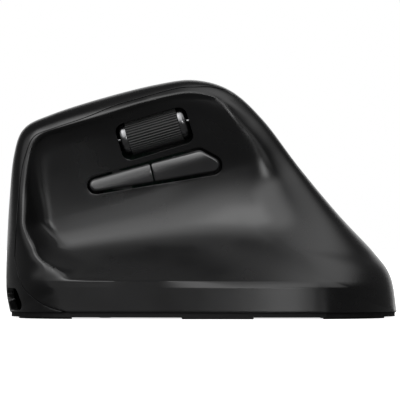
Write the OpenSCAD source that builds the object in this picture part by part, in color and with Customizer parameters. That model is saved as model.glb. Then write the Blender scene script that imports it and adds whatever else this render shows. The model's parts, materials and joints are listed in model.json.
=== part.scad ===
// A vertical ergonomic mouse for the right hand, in millimetres.
// +Z is up from the desk, the front is towards -X and the thumb side towards -Y.

/* [Body] */
// Length, front to rear
body_length = 120; // [110:1:130]
// Width, thumb flange to little-finger edge
body_width = 76; // [74:1:84]
// Height from the desk to the ridge
body_height = 72.9; // [70:0.1:78]
// Wall of the two shells
shell_wall = 2; // [1.6:0.1:2.2]
// Sideways place of the ridge along the top
ridge_y = -8; // [-9:0.5:-6]
// Sideways place of the nose at the desk
nose_y = 6; // [3:0.5:8]
// Gap between neighbouring outside pieces
part_gap = 0.35; // [0.25:0.05:0.5]

/* [Thumb scoop] */
// Sideways place of the rim over the scoop
rim_y = -16.5; // [-18:0.5:-15.5]
// Sideways place of the deepest line of the scoop
scoop_y = -11; // [-11.5:0.1:-10.5]
// Drop from the ridge to the scoop's deepest line under the roller
scoop_drop = 32.9; // [31:0.1:35]
// Height of the flange's outer edge
flange_height = 9.6; // [8.5:0.1:10.5]
// Height of the lip where the thumb floor begins
lip_height = 11.6; // [11:0.1:12.5]

/* [Base and feet] */
// Height of the base plate over the desk
foot_rise = 0.5; // [0.4:0.1:0.8]
// Thickness of the base plate
base_thickness = 1.5; // [1.2:0.1:2]
// Thickness of a foot
foot_thickness = 0.8; // [0.6:0.1:1]
// Inset of the base plate from the shells' edge
base_inset = 0.5; // [0.3:0.1:0.8]

/* [Main buttons] */
// Distance from the front to the middle of the main buttons
finger_x = 26; // [25:0.5:27]
// Drop from the ridge to the line between the main buttons
finger_drop = 26.9; // [26:0.1:28]
// Half the width of the strip between the main buttons
strip_half = 4.8; // [4.6:0.1:5.2]
// Thickness of a button lever
lever_thickness = 1.5; // [1.2:0.1:1.8]
// Radius of the hinge pin of the main buttons
hinge_r = 1; // [0.8:0.1:1.2]
// Distance from the middle of the buttons back to their hinge
hinge_back = 25; // [24:0.5:26]

/* [Scroll wheel] */
// Diameter of the wheel over its tyre
wheel_d = 22; // [20:0.5:23]
// Width of the wheel
wheel_w = 7; // [6:0.5:7.4]
// Rise of the wheel over the shell
wheel_rise = 3.4; // [3:0.1:4]
// Distance of the wheel ahead of the middle of the buttons
wheel_ahead = 4; // [3:0.5:4.5]
// Radius of the wheel's axle
axle_r = 1.2; // [1:0.1:1.4]

/* [Thumb roller] */
// Distance from the front to the middle of the roller
roller_x = 45.6; // [44:0.1:47]
// Drop from the ridge to the middle of the roller
roller_drop = 16.4; // [15.4:0.1:17.4]
// Slope of the roller, rising to the rear
roller_slope = 16.1; // [14:0.1:18]
// Diameter over the ribs
roller_d = 11.2; // [10.6:0.1:11.6]
// Length of the roller with its end rings
roller_length = 19.6; // [18:0.1:20]
// Number of ribs round the roller
roller_ribs = 40; // [36:1:44]
// Rise of the roller over the shell
roller_rise = 1.9; // [1.6:0.1:2.2]
// Thickness of an end ring
ring_thickness = 1.7; // [1.4:0.1:2]
// Radius of the roller's axle inside the roller
roller_axle_r = 1; // [0.9:0.1:1.3]
// Radius of the roller's axle in its bearings
journal_r = 0.6; // [0.5:0.05:0.7]

/* [Side buttons] */
// Distance from the front to the front end of the side buttons' slot
side_front_x = 27.8; // [27:0.1:29]
// Drop from the ridge to the slot's front end
side_front_drop = 32.2; // [31.4:0.1:32.9]
// Radius of the slot's front end
side_front_r = 2.5; // [2.2:0.1:2.8]
// Distance from the front to the slot's upper rear corner
side_rear_x = 59.2; // [58:0.1:60]
// Drop from the ridge to the slot's upper rear corner
side_rear_drop = 23.8; // [23.5:0.1:24.4]
// Radius of the slot's rear corners
side_rear_r = 2.9; // [2.6:0.1:3.2]
// Distance from the front to the line between the two side buttons
side_split_x = 45; // [44:0.1:46]
// Rise of the side buttons over the shell
side_rise = 1.4; // [1:0.1:1.8]

/* [Switches and boards] */
// Length of a main switch
switch_length = 12.8; // [12:0.2:13.4]
// Width of a main switch
switch_width = 5.8; // [5.4:0.2:6.2]
// Height of a main switch
switch_height = 6.3; // [6:0.1:6.5]
// Side of a small switch
tact_side = 6; // [5:0.1:6.2]
// Height of a small switch
tact_height = 3.1; // [2.8:0.1:3.3]
// Rise of a plunger over its switch
plunger_rise = 0.75; // [0.7:0.05:0.9]
// Radius of a plunger
plunger_r = 0.9; // [0.8:0.05:1]
// Thickness of the circuit boards
board_thickness = 1; // [0.8:0.1:1.2]
// Thickness of the frame's plates
frame_plate = 2; // [1.6:0.1:2.2]

/* [Charging port] */
// Sideways place of the port
port_y = -3; // [-4:0.5:-2]
// Height of the port's middle over the desk
port_z = 5.9; // [5.6:0.1:6.2]
// Width of the recess around the port, which runs on round the nose to the thumb side
port_recess_w = 19; // [18:0.2:19.4]
// Height of the recess around the port
port_recess_h = 6.8; // [6.4:0.1:7]

/* [Fasteners] */
// Radius of a screw's shank
screw_r = 1; // [0.8:0.1:1.1]
// Radius of a screw's head
screw_head_r = 2; // [1.8:0.1:2.2]

/* [Fits] */
// Radial clearance of a shaft or plunger in its bore
run_clear = 0.05; // [0.03:0.01:0.08]
// Air between an actuator and the plunger under it
touch_gap = 0.05; // [0.03:0.01:0.08]
// Air around a moving piece inside the body
free_gap = 0.4; // [0.3:0.05:0.5]

/* [Hidden] */
$fn = 48;
eps = 0.01;

front_x = -body_length / 2;
rear_x = body_length / 2;
half_w = body_width / 2;
shell_z = foot_rise + base_thickness;
scoop_z = body_height - scoop_drop;
finger_z = body_height - finger_drop;
roller_z = body_height - roller_drop;
side_front_z = body_height - side_front_drop;
side_rear_z = body_height - side_rear_drop;

// Side outline from the front at the desk over the ridge to the rear, in half lengths and heights
outline_shares = [[-0.982, 0.027], [-0.9993, 0.123], [-0.996, 0.288], [-0.982, 0.494], [-0.958, 0.686],
    [-0.905, 0.798], [-0.767, 0.856], [-0.517, 0.922], [-0.233, 0.981], [-0.033, 1.0], [0.15, 0.955],
    [0.317, 0.83], [0.5, 0.632], [0.7, 0.435], [0.883, 0.274], [0.967, 0.174], [1.0, 0.027]];
outline_knots = [for (p = outline_shares) [p.x * rear_x, p.y * body_height]];
steps_per_knot = 6;

// Smooth curve through the knots
function spline(a, b, c, d, t) =
    0.5 * (2 * b + (c - a) * t + (2 * a - 5 * b + 4 * c - d) * t * t + (3 * b - a - 3 * c + d) * t * t * t);
function knot(i) =
    i < 0 ? 2 * outline_knots[0] - outline_knots[1]
    : i >= len(outline_knots) ? 2 * outline_knots[i - 1] - outline_knots[i - 2]
    : outline_knots[i];
outline = concat(
    [for (i = [0:len(outline_knots) - 2]) for (k = [0:steps_per_knot - 1])
        spline(knot(i - 1), knot(i), knot(i + 1), knot(i + 2), k / steps_per_knot)],
    [outline_knots[len(outline_knots) - 1]]);
last = len(outline) - 1;
function unit(v) = v / norm(v);
// Outward normals of the outline
outline_normals = [for (i = [0:last])
    let (t = unit(outline[min(i + 1, last)] - outline[max(i - 1, 0)])) [-t.y, t.x]];

// Distance from the outline, measured along rays from a point inside it
eye = [-4, 26];
function turn(x, z) = let (a = atan2(eye.x - x, eye.y - z)) a < 0 ? a + 360 : a;
drops = [-60, -35, -20, -11, -6, -2];
reach = concat([for (z = drops) [outline[0].x, z]], outline,
    [for (k = [len(drops) - 1:-1:0]) [outline[last].x, drops[k]]]);
reach_normals = concat([for (z = drops) [-1, 0]], outline_normals, [for (z = drops) [1, 0]]);
reach_last = len(reach) - 1;
reach_turns = [for (p = reach) turn(p.x, p.y)];
function total(v, k = 0) = k >= len(v) ? 0 : v[k] + total(v, k + 1);
function mean(v) = total(v) / len(v);
slants = [for (k = [0:reach_last]) (reach[k] - eye) * reach_normals[k] / norm(reach[k] - eye)];
slant_reach = round(0.75 * steps_per_knot);
far_table = [for (k = [0:reach_last]) [reach_turns[k], norm(reach[k] - eye)]];
slant_table = [for (k = [0:reach_last]) [reach_turns[k],
    mean([for (m = [max(0, k - slant_reach):min(reach_last, k + slant_reach)]) slants[m]])]];
function edge(x, z, t) = (lookup(t, far_table) - norm([x, z] - eye)) * lookup(t, slant_table);

function clamp01(t) = max(0, min(1, t));
function ease(a, b, t) = let (k = clamp01((t - a) / (b - a))) k * k * (3 - 2 * k);
function dome(t) = sqrt(max(0, 1 - pow(1 - clamp01(t), 2)));
// A rise from 0 to 1, steepest where it starts, with its start rounded off
function bowl(t, soft) = 1 - pow(1 - clamp01((t + sqrt(t * t + soft * soft)) / 2), 3);
// Value between stations [turn, value], eased from each station to the next
function station(t, s, i = 0) =
    t <= s[0][0] ? s[0][1]
    : i >= len(s) - 1 ? s[len(s) - 1][1]
    : t <= s[i + 1][0] ? s[i][1] + (s[i + 1][1] - s[i][1]) * ease(s[i][0], s[i + 1][0], t)
    : station(t, s, i + 1);
// Sideways place of the line where the two sides of the body meet
function spine(z) = nose_y + (ridge_y - nose_y) * pow(clamp01(z / body_height), 0.8);

// Stations along the outline, by turn: 90 is the front, 180 the ridge, 270 the rear
rim_stations = [[55, 24], [72, 15], [84, 9], [95, 5.4], [108, 4.6], [120, 4.6], [140, 5], [165, 4],
    [190, 3.2], [220, 2], [250, 1]];
scoop_stations = [[50, 26], [95, 26], [120, 20], [150, 14], [180, 14], [205, 18]];
thumb_round = [[50, 18], [75, 13], [95, 6], [120, 4.6], [140, 5], [170, 4.6], [190, 5], [210, 9], [240, 17],
    [270, 22], [300, 24]];
bead_stations = [[70, 0], [90, 0.45], [120, 0.6], [180, 0.6], [195, 0.4], [215, 0]];
finger_round = [[60, 16], [90, 10], [120, 8], [150, 9], [190, 9], [210, 12], [240, 20], [300, 24]];

// Thumb side of the body at a point of the side view, i millimetres inside the outer face
thumb_wide_x = 14;
scoop_rise = 0.3;
scoop_corner = 30;
scoop_soft = 0.1;
shoulder_soft = 0.28;
rim_z = body_height - 5.9;
function thumb(x, z, i = 0) =
    let (t = turn(x, z), d = edge(x, z, t) - i, s = spine(z), lip = lip_height - 0.7 * i,
        flange = flange_height - 0.7 * i,
        wide = x < thumb_wide_x
            ? 1 - 0.40 * pow((thumb_wide_x - x) / (thumb_wide_x - front_x), 2.2)
            : 1 - 0.26 * pow((x - thumb_wide_x) / (rear_x - thumb_wide_x), 2.2),
        foot = -half_w * wide + i,
        rim = rim_y + 2.5 * ease(-20, -58, x) + i,
        k = clamp01((rim_z - z) / (rim_z - flange)),
        forward = ease(10, -50, x),
        swell = pow(k, 4) * (5 - 4 * k) * forward + (1 - pow(1 - k, 1.25)) * (1 - forward),
        hull_y = rim + (foot - rim) * swell,
        axis_z = scoop_z + scoop_rise * (x + 10),
        deep = scoop_y + i,
        lip_y = foot + 2,
        down = clamp01((axis_z - z) / (axis_z - lip)),
        up = max(0, min(1.3, (z - axis_z) / (rim_z - axis_z))),
        scoop = z < lip ? lip_y + (foot - lip_y) * pow(clamp01((lip - z) / (lip - flange)), 0.7)
            : z < axis_z ? deep + (lip_y - deep) * pow(down, 3)
            : deep + (rim + 0.6 - deep) * up * up,
        rim_d = station(t, rim_stations),
        fade = station(t, scoop_stations),
        a = max(0, scoop_corner - d + rim_d),
        b = max(0, scoop_corner - (z - lip + fade)),
        shoulder = 35 - 31 / (1 + exp((50 - z) / 7.5)),
        shoulder_fade = 32 + 26 / (1 + exp((z - 40) / 7)),
        pocket = 1 - (1 - bowl((scoop_corner - sqrt(a * a + b * b)) / fade, scoop_soft))
            * (1 - ease(186, 214, t)),
        mask = pocket * bowl((shoulder - x) / shoulder_fade, shoulder_soft),
        full = hull_y + (scoop - hull_y) * mask,
        bead = i > 0 ? 0 : station(t, bead_stations) * exp(-pow((d - rim_d - 0.4) / 1.1, 2)))
    s + (full - s) * dome(d / max(1.5, station(t, thumb_round) - i)) - bead;

// Finger side of the body, in the same way
finger_wide_x = 10;
little_finger_step = 2;
function finger(x, z, i = 0) =
    let (t = turn(x, z), d = edge(x, z, t) - i, s = spine(z),
        top = body_height + 2.1,
        full = ridge_y - i + (half_w - little_finger_step - ridge_y)
            * pow(max(0, 1 - pow(clamp01((z - shell_z) / (top - shell_z)), 1.6)), 1 / 1.5)
            + little_finger_step * (1 - ease(shell_z, shell_z + 11, z)),
        wide = x < finger_wide_x
            ? 1 - 0.40 * pow((finger_wide_x - x) / (finger_wide_x - front_x), 2)
            : 1 - 0.25 * pow((x - finger_wide_x) / (rear_x - finger_wide_x), 2))
    s + (full - s) * wide * dome(d / max(2, station(t, finger_round) - i));

// Rings of points from the outline in to a middle point, for both sides
middle = [-14, 44];
arch_step = 2;
arch_rays = [for (i = [0:arch_step:last]) i];
arch_count = len(arch_rays);
foot_count = 22;
arch_rings = [0, 0.1, 0.5, 1.3, 2.4, 3.7, 5, 6.6, 9, 12.5, 17, 23, 30, 39];
foot_rings = [0, 0.35, 1.2, 3, 5.4, 7.4, 8.4, 9.4, 10.2, 11.6, 14.5, 20, 28, 36];
ring_count = len(arch_rings);
ray_count = arch_count + foot_count;
function ray_end(j, i, low) =
    j < arch_count
        ? let (q = outline[arch_rays[j]], s = lookup(turn(q.x, q.y), slant_table),
            p = eye + (q - eye) * (1 - i / (norm(q - eye) * s)))
            [p.x, j == 0 || j == arch_count - 1 ? low : max(p.y, low)]
        : let (k = (j - arch_count + 1) / (foot_count + 1), a = outline[last].x - i, b = outline[0].x + i)
            [a + (b - a) * (0.5 - 0.5 * cos(180 * k)), low];
function ray_share(j) = j < arch_count ? 1 - ease(2, 22, outline[arch_rays[j]].y) : 1;
function ring_point(j, k, i, low) =
    let (p = ray_end(j, i, low), w = ray_share(j),
        r = (1 - arch_rings[k] / 50) * (1 - w) + (1 - foot_rings[k] / (middle.y - shell_z)) * w)
    middle + r * (p - middle);
function skin_points(i, low) = concat(
    [for (j = [0:ray_count - 1]) for (k = [0:ring_count - 1])
        let (p = ring_point(j, k, i, low))
        [p.x, j < arch_count && k == 0 ? spine(p.y) : thumb(p.x, p.y, i), p.y]],
    [for (j = [0:ray_count - 1]) for (k = [0:ring_count - 1])
        let (p = ring_point(j, k, i, low))
        [p.x, j < arch_count && k == 0 ? spine(p.y) : finger(p.x, p.y, i), p.y]],
    [[middle.x, thumb(middle.x, middle.y, i), middle.y],
        [middle.x, finger(middle.x, middle.y, i), middle.y]]);
sheet = ray_count * ring_count;
function thumb_index(j, k) = (j % ray_count) * ring_count + k;
function finger_index(j, k) =
    let (m = j % ray_count) m < arch_count && k == 0 ? m * ring_count : sheet + m * ring_count + k;
skin_faces = concat(
    [for (j = [0:ray_count - 1]) for (k = [0:ring_count - 2]) for (f = [0, 1])
        f == 0 ? [thumb_index(j, k), thumb_index(j + 1, k + 1), thumb_index(j, k + 1)]
            : [thumb_index(j, k), thumb_index(j + 1, k), thumb_index(j + 1, k + 1)]],
    [for (j = [0:ray_count - 1])
        [thumb_index(j, ring_count - 1), thumb_index(j + 1, ring_count - 1), 2 * sheet]],
    [for (j = [0:ray_count - 1]) for (k = [0:ring_count - 2]) for (f = [0, 1])
        f == 0 ? [finger_index(j, k), finger_index(j, k + 1), finger_index(j + 1, k + 1)]
            : [finger_index(j, k), finger_index(j + 1, k + 1), finger_index(j + 1, k)]],
    [for (j = [0:ray_count - 1])
        [finger_index(j, ring_count - 1), 2 * sheet + 1, finger_index(j + 1, ring_count - 1)]],
    [for (j = [arch_count - 1:ray_count - 1]) for (f = [0, 1])
        let (a = thumb_index(j, 0), b = thumb_index(j + 1, 0), c = finger_index(j, 0),
            d = finger_index(j + 1, 0))
        if (f == 0 ? a != c : b != d)
            f == 0 ? [a, c, b == d ? b : d] : [a, d, b]]);
module skin(i, low) {
    polyhedron(skin_points(i, low), skin_faces, convexity = 8);
}
module body_solid() {
    skin(0, shell_z);
}
module body_wall() {
    difference() {
        skin(0, shell_z);
        skin(shell_wall, shell_z - 1);
    }
}
// A shape made as one smooth skin
module moulded() {
    resize([0, 0, 0]) children();
}
// A side-view outline carried across the body from y0 to y1
module across(y0, y1) {
    translate([0, y1, 0]) rotate([90, 0, 0]) linear_extrude(y1 - y0) children();
}
module xyz_box(a, b) {
    translate(a) cube(b - a);
}

// Frame of the main buttons: x back along the buttons, y down across them, z outwards
finger_at = [front_x + finger_x, finger(front_x + finger_x, finger_z), finger_z];
function slope_x(x, z) = finger(x + 1, z) / 2 - finger(x - 1, z) / 2;
function slope_z(x, z) = finger(x, z + 1) / 2 - finger(x, z - 1) / 2;
finger_lift = atan(-slope_z(finger_at.x, finger_z));
finger_yaw = 8;
module at_fingers() {
    translate(finger_at) rotate([finger_lift - 90, 0, 0]) rotate([0, -finger_yaw, 0]) children();
}
function turn_x(p, a) = [p.x, p.y * cos(a) - p.z * sin(a), p.y * sin(a) + p.z * cos(a)];
function turn_y(p, a) = [p.x * cos(a) + p.z * sin(a), p.y, p.z * cos(a) - p.x * sin(a)];
function finger_dir(p) = turn_x(turn_y(p, -finger_yaw), finger_lift - 90);
function finger_point(p) = finger_at + finger_dir(p);

// Levels below the button surface
lever_top = -shell_wall - 1.7;
lever_low = lever_top - lever_thickness;
tip_level = lever_low - 0.8;
switch_top = tip_level - plunger_rise;
board_top = switch_top - switch_height;
plate_top = board_top - board_thickness;
plate_low = plate_top - frame_plate;
hinge_z = lever_low - 0.8;
main_switch_x = -8;
main_switch_y = 12;
tact_top = board_top + tact_height;
button_front = -22.5;
button_rear = hinge_back + 2;
wheel_at = [-wheel_ahead, 0, wheel_rise - wheel_d / 2];
carrier_half = wheel_w / 2 + free_gap;
carrier_wall = 1.2;
carrier_pin_r = 0.8;
carrier_pin_at = [wheel_at.x + wheel_d / 2 + 1.6, 0, wheel_at.z - 3.4];
middle_switch_x = wheel_at.x - wheel_d / 2 - 3.4;
resolution_x = carrier_pin_at.x + 6.2;

// Frame of the thumb roller: x along its axle to the rear, z outwards
roller_mid = [front_x + roller_x, roller_z];
roller_run = [cos(roller_slope), sin(roller_slope)];
function thumb_at(p) = [p.x, thumb(p.x, p.y), p.y];
roller_axis = unit(thumb_at(roller_mid + 10 * roller_run) - thumb_at(roller_mid - 10 * roller_run));
roller_side = thumb_at(roller_mid + 4 * [-roller_run.y, roller_run.x])
    - thumb_at(roller_mid - 4 * [-roller_run.y, roller_run.x]);
roller_out = unit(cross(roller_axis, roller_side));
roller_across = cross(roller_out, roller_axis);
roller_at = thumb_at(roller_mid);
module at_roller() {
    multmatrix([[roller_axis.x, roller_across.x, roller_out.x, roller_at.x],
        [roller_axis.y, roller_across.y, roller_out.y, roller_at.y],
        [roller_axis.z, roller_across.z, roller_out.z, roller_at.z], [0, 0, 0, 1]]) children();
}
roller_depth = roller_rise - roller_d / 2;
slot_length = roller_length + 2.4;
slot_height = roller_d + 0.1;
arm_in = slot_length / 2 + 0.6;
arm_thickness = 1.6;
cradle_top = -shell_wall - 0.35;
cradle_back = roller_depth - roller_d / 2 - 0.9;
cradle_plate = 1.5;
encoder_thickness = 2.2;

// Thumb-side boards and frame web, from the scoop inwards
cap_inner_y = scoop_y + shell_wall + 1.15;
thumb_tip_y = cap_inner_y + touch_gap;
thumb_switch_y = thumb_tip_y + plunger_rise;
thumb_board_y = thumb_switch_y + tact_height;
web_y = thumb_board_y + board_thickness;

// Seam between the two shells: distance in from the outline, by turn
seam_stations = [[80, 3], [105, 3.2], [122, 4.2], [137, 4.6], [155, 3.3], [181, 2.4], [192, 1.2],
    [202, -1.5]];
// Seam of the nose, from the front and over the shells' lower edge
nose_seam = [[20.2, 0], [14.7, 1.4], [10.4, 3.5], [6.1, 7.2], [4.3, 11.5]];
function seam_y(z) = spine(z) - 4 * ease(8, 62, z);
seam_outline = concat([[front_x + nose_seam[0].x, -5]],
    [for (p = nose_seam) [front_x + p.x, shell_z + p.y]],
    [for (i = [0:last]) if (outline[i].y > 18 || outline[i].x > 0)
        outline[i] - station(turn(outline[i].x, outline[i].y), seam_stations) * outline_normals[i]],
    [[rear_x + 5, -5]]);
seam_section = concat([[-half_w - 10, -5]], [for (z = [-5:5:75]) [seam_y(z), z]], [[-half_w - 10, 75]]);
module thumb_region(grow) {
    intersection() {
        across(-half_w - 5, half_w) offset(delta = grow) polygon(seam_outline);
        translate([front_x - 10, 0, 0]) rotate([90, 0, 90]) linear_extrude(body_length + 20)
            translate([grow, 0]) polygon(seam_section);
    }
}

// Screw posts of the shells, standing on the base plate: place and greatest height
main_posts = [[rear_x - 16.5, 8, 60], [front_x + 24, 26.5, 16]];
thumb_post = [rear_x - 22, -17, 60];
frame_screws = [[front_x + 30.5, web_y - 3.2], [front_x + 62, web_y - 3.2]];
base_screw_places = concat(main_posts, [thumb_post], frame_screws);
post_r = 3;
screw_length = 7;
module screw_posts(places) {
    intersection() {
        body_solid();
        for (p = places) translate([p.x, p.y, shell_z]) difference() {
            cylinder(r = post_r, h = p.z);
            translate([0, 0, -eps]) cylinder(r = screw_r, h = screw_length + 1);
        }
    }
}

// Outlines of the main buttons in their own frame
left_outline = [[button_front, -strip_half], [button_front, -9], [button_front + 3.5, -12.5], [0, -16],
    [button_rear - 3, -19], [button_rear, -strip_half]];
right_outline = [[button_front, strip_half], [button_rear, strip_half], [button_rear - 5, 18],
    [button_front + 3.5, 17.5], [button_front, 14]];
cap_low = -6.8;
opening_low = cap_low - 1.6;
module rounded(r) {
    offset(r = r, $fn = 24) offset(delta = -r) children();
}
module slot_shape(l, w, r) {
    offset(r = r, $fn = 24) square([l - 2 * r, w - 2 * r], center = true);
}
module button_cap(points) {
    moulded() intersection() {
        body_wall();
        at_fingers() translate([0, 0, cap_low]) linear_extrude(20) rounded(1.5) polygon(points);
    }
}
resolution_l = 9;
resolution_w = 4.6;
wheel_slot_l = 22;
wheel_slot_w = wheel_w + 2 * free_gap + 0.6;

module main_shell() color([0.06, 0.06, 0.065]) moulded() {
    difference() {
        body_wall();
        thumb_region(part_gap);
        at_fingers() {
            translate([0, 0, opening_low]) linear_extrude(24) offset(delta = part_gap) rounded(1.5)
                polygon(left_outline);
            translate([0, 0, opening_low]) linear_extrude(24) offset(delta = part_gap) rounded(1.5)
                polygon(right_outline);
            translate([wheel_at.x, 0, -6]) linear_extrude(12) slot_shape(wheel_slot_l, wheel_slot_w, 3);
            translate([resolution_x, 0, -6]) linear_extrude(12)
                slot_shape(resolution_l + 2 * part_gap, resolution_w + 2 * part_gap, resolution_w / 2);
        }
        translate([front_x - 2, port_y + 5.8 - port_recess_w / 2, port_z]) rotate([90, 0, 90])
            linear_extrude(12) slot_shape(port_recess_w, port_recess_h, 2.6);
    }
    screw_posts(main_posts);
}

side_front = [front_x + side_front_x, side_front_z];
side_rear = [front_x + side_rear_x, side_rear_z];
// From the slot's upper rear corner to its lower one
side_tail = [4, -2.2];
module side_outline(grow) {
    hull() {
        translate(side_front) circle(side_front_r + grow, $fn = 32);
        translate(side_rear) circle(side_rear_r + grow, $fn = 32);
        translate(side_rear + side_tail) circle(side_rear_r + grow, $fn = 32);
    }
}
// The line between the two side buttons: its lean, its middle and half its length
side_lean = 13;
side_mid = [front_x + side_split_x, side_front_z + 3.85];
side_half = 3.1;
side_corner = 0.7;
function lean(p) =
    side_mid + [p.x * cos(side_lean) - p.y * sin(side_lean), p.x * sin(side_lean) + p.y * cos(side_lean)];
// A side button's outline is drawn round circles [centre, radius] at its corners
function side_circles(way, back) = concat(
    [for (s = [-1, 1])
        [lean([way * (part_gap / 2 + side_corner + back), s * (side_half - side_corner)]), side_corner]],
    way < 0 ? [[side_front, side_front_r - part_gap]]
        : [[side_rear, side_rear_r - part_gap], [side_rear + side_tail, side_rear_r - part_gap]]);
function around(circles, a, grow) =
    let (u = [cos(a), sin(a)], far = max([for (c = circles) c[0] * u + c[1]]))
    [for (c = circles) if (c[0] * u + c[1] > far - eps / 10) c[0] + (c[1] + grow) * u][0];
side_points = 40;
// Rings of a side button from its flat inner face to its crown: [growth, scale, rise, flat level]
flange_grow = 0.9;
flange_y = cap_inner_y - 0.85;
side_rings = [[flange_grow, 1, 0, cap_inner_y], [flange_grow, 1, 0, flange_y], [0, 1, 0, flange_y],
    [0, 1, 0.2 * side_rise, undef], [-0.3, 1, 0.6 * side_rise, undef], [-0.6, 0.94, 0.85 * side_rise, undef],
    [-0.6, 0.7, side_rise, undef], [-0.6, 0.35, 1.08 * side_rise, undef]];
function side_point(way, k, ring) =
    let (c = lean([way * 9, 0]), circles = side_circles(way, max(0, ring[0])),
        p = around(circles, 360 * k / side_points, ring[0]), q = c + ring[1] * (p - c))
    [q.x, is_undef(ring[3]) ? thumb(q.x, q.y) - ring[2] : ring[3], q.y];
module side_button(way) {
    centre = lean([way * 9, 0]);
    count = len(side_rings) * side_points;
    points = concat([for (r = side_rings) for (k = [0:side_points - 1]) side_point(way, k, r)],
        [[centre.x, cap_inner_y, centre.y],
            [centre.x, thumb(centre.x, centre.y) - 1.1 * side_rise, centre.y]]);
    faces = concat(
        [for (r = [0:len(side_rings) - 2]) for (k = [0:side_points - 1]) for (f = [0, 1])
            let (a = r * side_points + k, b = r * side_points + (k + 1) % side_points)
            f == 0 ? [a, b + side_points, b] : [a, a + side_points, b + side_points]],
        [for (k = [0:side_points - 1]) [k, (k + 1) % side_points, count]],
        [for (k = [0:side_points - 1])
            [count - side_points + (k + 1) % side_points, count - side_points + k, count + 1]]);
    polyhedron(points, faces, convexity = 4);
}
side_switch_run = [9.6, 9.4];
function side_switch(way) =
    side_mid + way * side_switch_run[way > 0 ? 1 : 0] * [cos(side_lean), sin(side_lean)];

module thumb_shell() color([0.05, 0.05, 0.055]) moulded() {
    difference() {
        intersection() {
            body_wall();
            thumb_region(0);
        }
        at_roller() translate([0, 0, -9]) linear_extrude(16) slot_shape(slot_length, slot_height, 2.4);
        across(-half_w, cap_inner_y + 3) side_outline(0);
    }
    screw_posts([thumb_post]);
}

module forward_button() color([0.09, 0.09, 0.095]) side_button(-1);
module back_button() color([0.09, 0.09, 0.095]) side_button(1);
module left_button() color([0.06, 0.06, 0.065]) button_cap(left_outline);
module right_button() color([0.06, 0.06, 0.065]) button_cap(right_outline);

// A lever under a main button: an arm with two ribs, a hinge boss and the post over its switch
lever_half = 2;
boss_r = 2.3;
rib_bite = shell_wall - 0.7;
boss_y = [main_switch_y - 3.1, main_switch_y + 1];
rib_places = [main_switch_x + 2, 10];
// Level of the shell at a point of the buttons' frame, i millimetres inside the outer face
function skin_level(x, y, i, z = 0, n = 8) =
    let (p = finger_point([x, y, z]))
    n == 0 ? z : skin_level(x, y, i, z + 0.8 * (finger(p.x, p.z, i) - p.y), n - 1);
module lever(way) {
    at_fingers() difference() {
        union() {
            xyz_box([main_switch_x - 3, way * main_switch_y - lever_half, lever_low],
                [hinge_back, way * main_switch_y + lever_half, lever_top]);
            for (x = rib_places) let (top = skin_level(x, way * (main_switch_y + lever_half), rib_bite))
                xyz_box([x - 1, way * main_switch_y - lever_half, lever_low],
                    [x + 1, way * main_switch_y + lever_half, top]);
            translate([main_switch_x, way * main_switch_y, tip_level + touch_gap])
                cylinder(r = 1.3, h = lever_top - tip_level - touch_gap);
            translate([hinge_back, way > 0 ? boss_y[0] : -boss_y[1], hinge_z]) rotate([-90, 0, 0])
                cylinder(r = boss_r, h = boss_y[1] - boss_y[0]);
        }
        translate([hinge_back, -half_w, hinge_z]) rotate([-90, 0, 0])
            cylinder(r = hinge_r + run_clear, h = body_width);
    }
}
module left_lever() color("dimgray") lever(-1);
module right_lever() color("dimgray") lever(1);
pin_half = boss_y[1] + 0.6;
module hinge_pin() color("silver") at_fingers() translate([hinge_back, -pin_half, hinge_z])
    rotate([-90, 0, 0]) cylinder(r = hinge_r, h = 2 * pin_half);

// Small button behind the wheel, with the stem that reaches its switch
module pill(l, w, h) {
    linear_extrude(h) {
        square([l - w, w], center = true);
        for (s = [-1, 1]) translate([s * (l - w) / 2, 0]) circle(d = w);
    }
}
resolution_tip = tact_top + plunger_rise;
module resolution_button() color([0.12, 0.12, 0.125]) at_fingers() translate([resolution_x, 0, 0]) {
    translate([0, 0, -3.2]) pill(resolution_l, resolution_w, 3.2 + 0.8);
    translate([0, 0, resolution_tip + touch_gap]) cylinder(r = 1.3, h = -resolution_tip - 3);
}

// Thumb roller, turning on a stepped axle
module along_roller(from) {
    at_roller() translate([from, 0, roller_depth]) rotate([0, 90, 0]) children();
}
sleeve_half = roller_length / 2 - ring_thickness;
rib_depth = 0.45;
module roller_sleeve() color([0.05, 0.05, 0.05]) along_roller(-sleeve_half) difference() {
    linear_extrude(2 * sleeve_half) polygon([for (i = [0:roller_ribs * 4 - 1])
        let (r = roller_d / 2 - (i % 4 < 2 ? 0 : rib_depth), a = i * 90 / roller_ribs) r * [cos(a), sin(a)]]);
    translate([0, 0, -1]) cylinder(r = roller_axle_r, h = 2 * sleeve_half + 2);
}
module roller_rings() color([0.15, 0.15, 0.15]) for (s = [-1, 1])
    along_roller(s * (sleeve_half + ring_thickness / 2)) rotate_extrude() polygon([
        [roller_axle_r, -ring_thickness / 2], [roller_d / 2 - 0.7, -ring_thickness / 2],
        [roller_d / 2 - 0.1, -ring_thickness / 2 + 0.5], [roller_d / 2 - 0.1, ring_thickness / 2 - 0.5],
        [roller_d / 2 - 0.7, ring_thickness / 2], [roller_axle_r, ring_thickness / 2]]);
journal_start = arm_in + arm_thickness - 0.2;
journal_end = arm_in + arm_thickness + 0.3 + encoder_thickness - 0.5;
module roller_axle() color("silver") {
    along_roller(-roller_length / 2 - 0.4) cylinder(r = roller_axle_r, h = roller_length + 0.8);
    along_roller(-journal_start) cylinder(r = journal_r, h = journal_start + journal_end);
}
cradle_half = 3;
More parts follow.
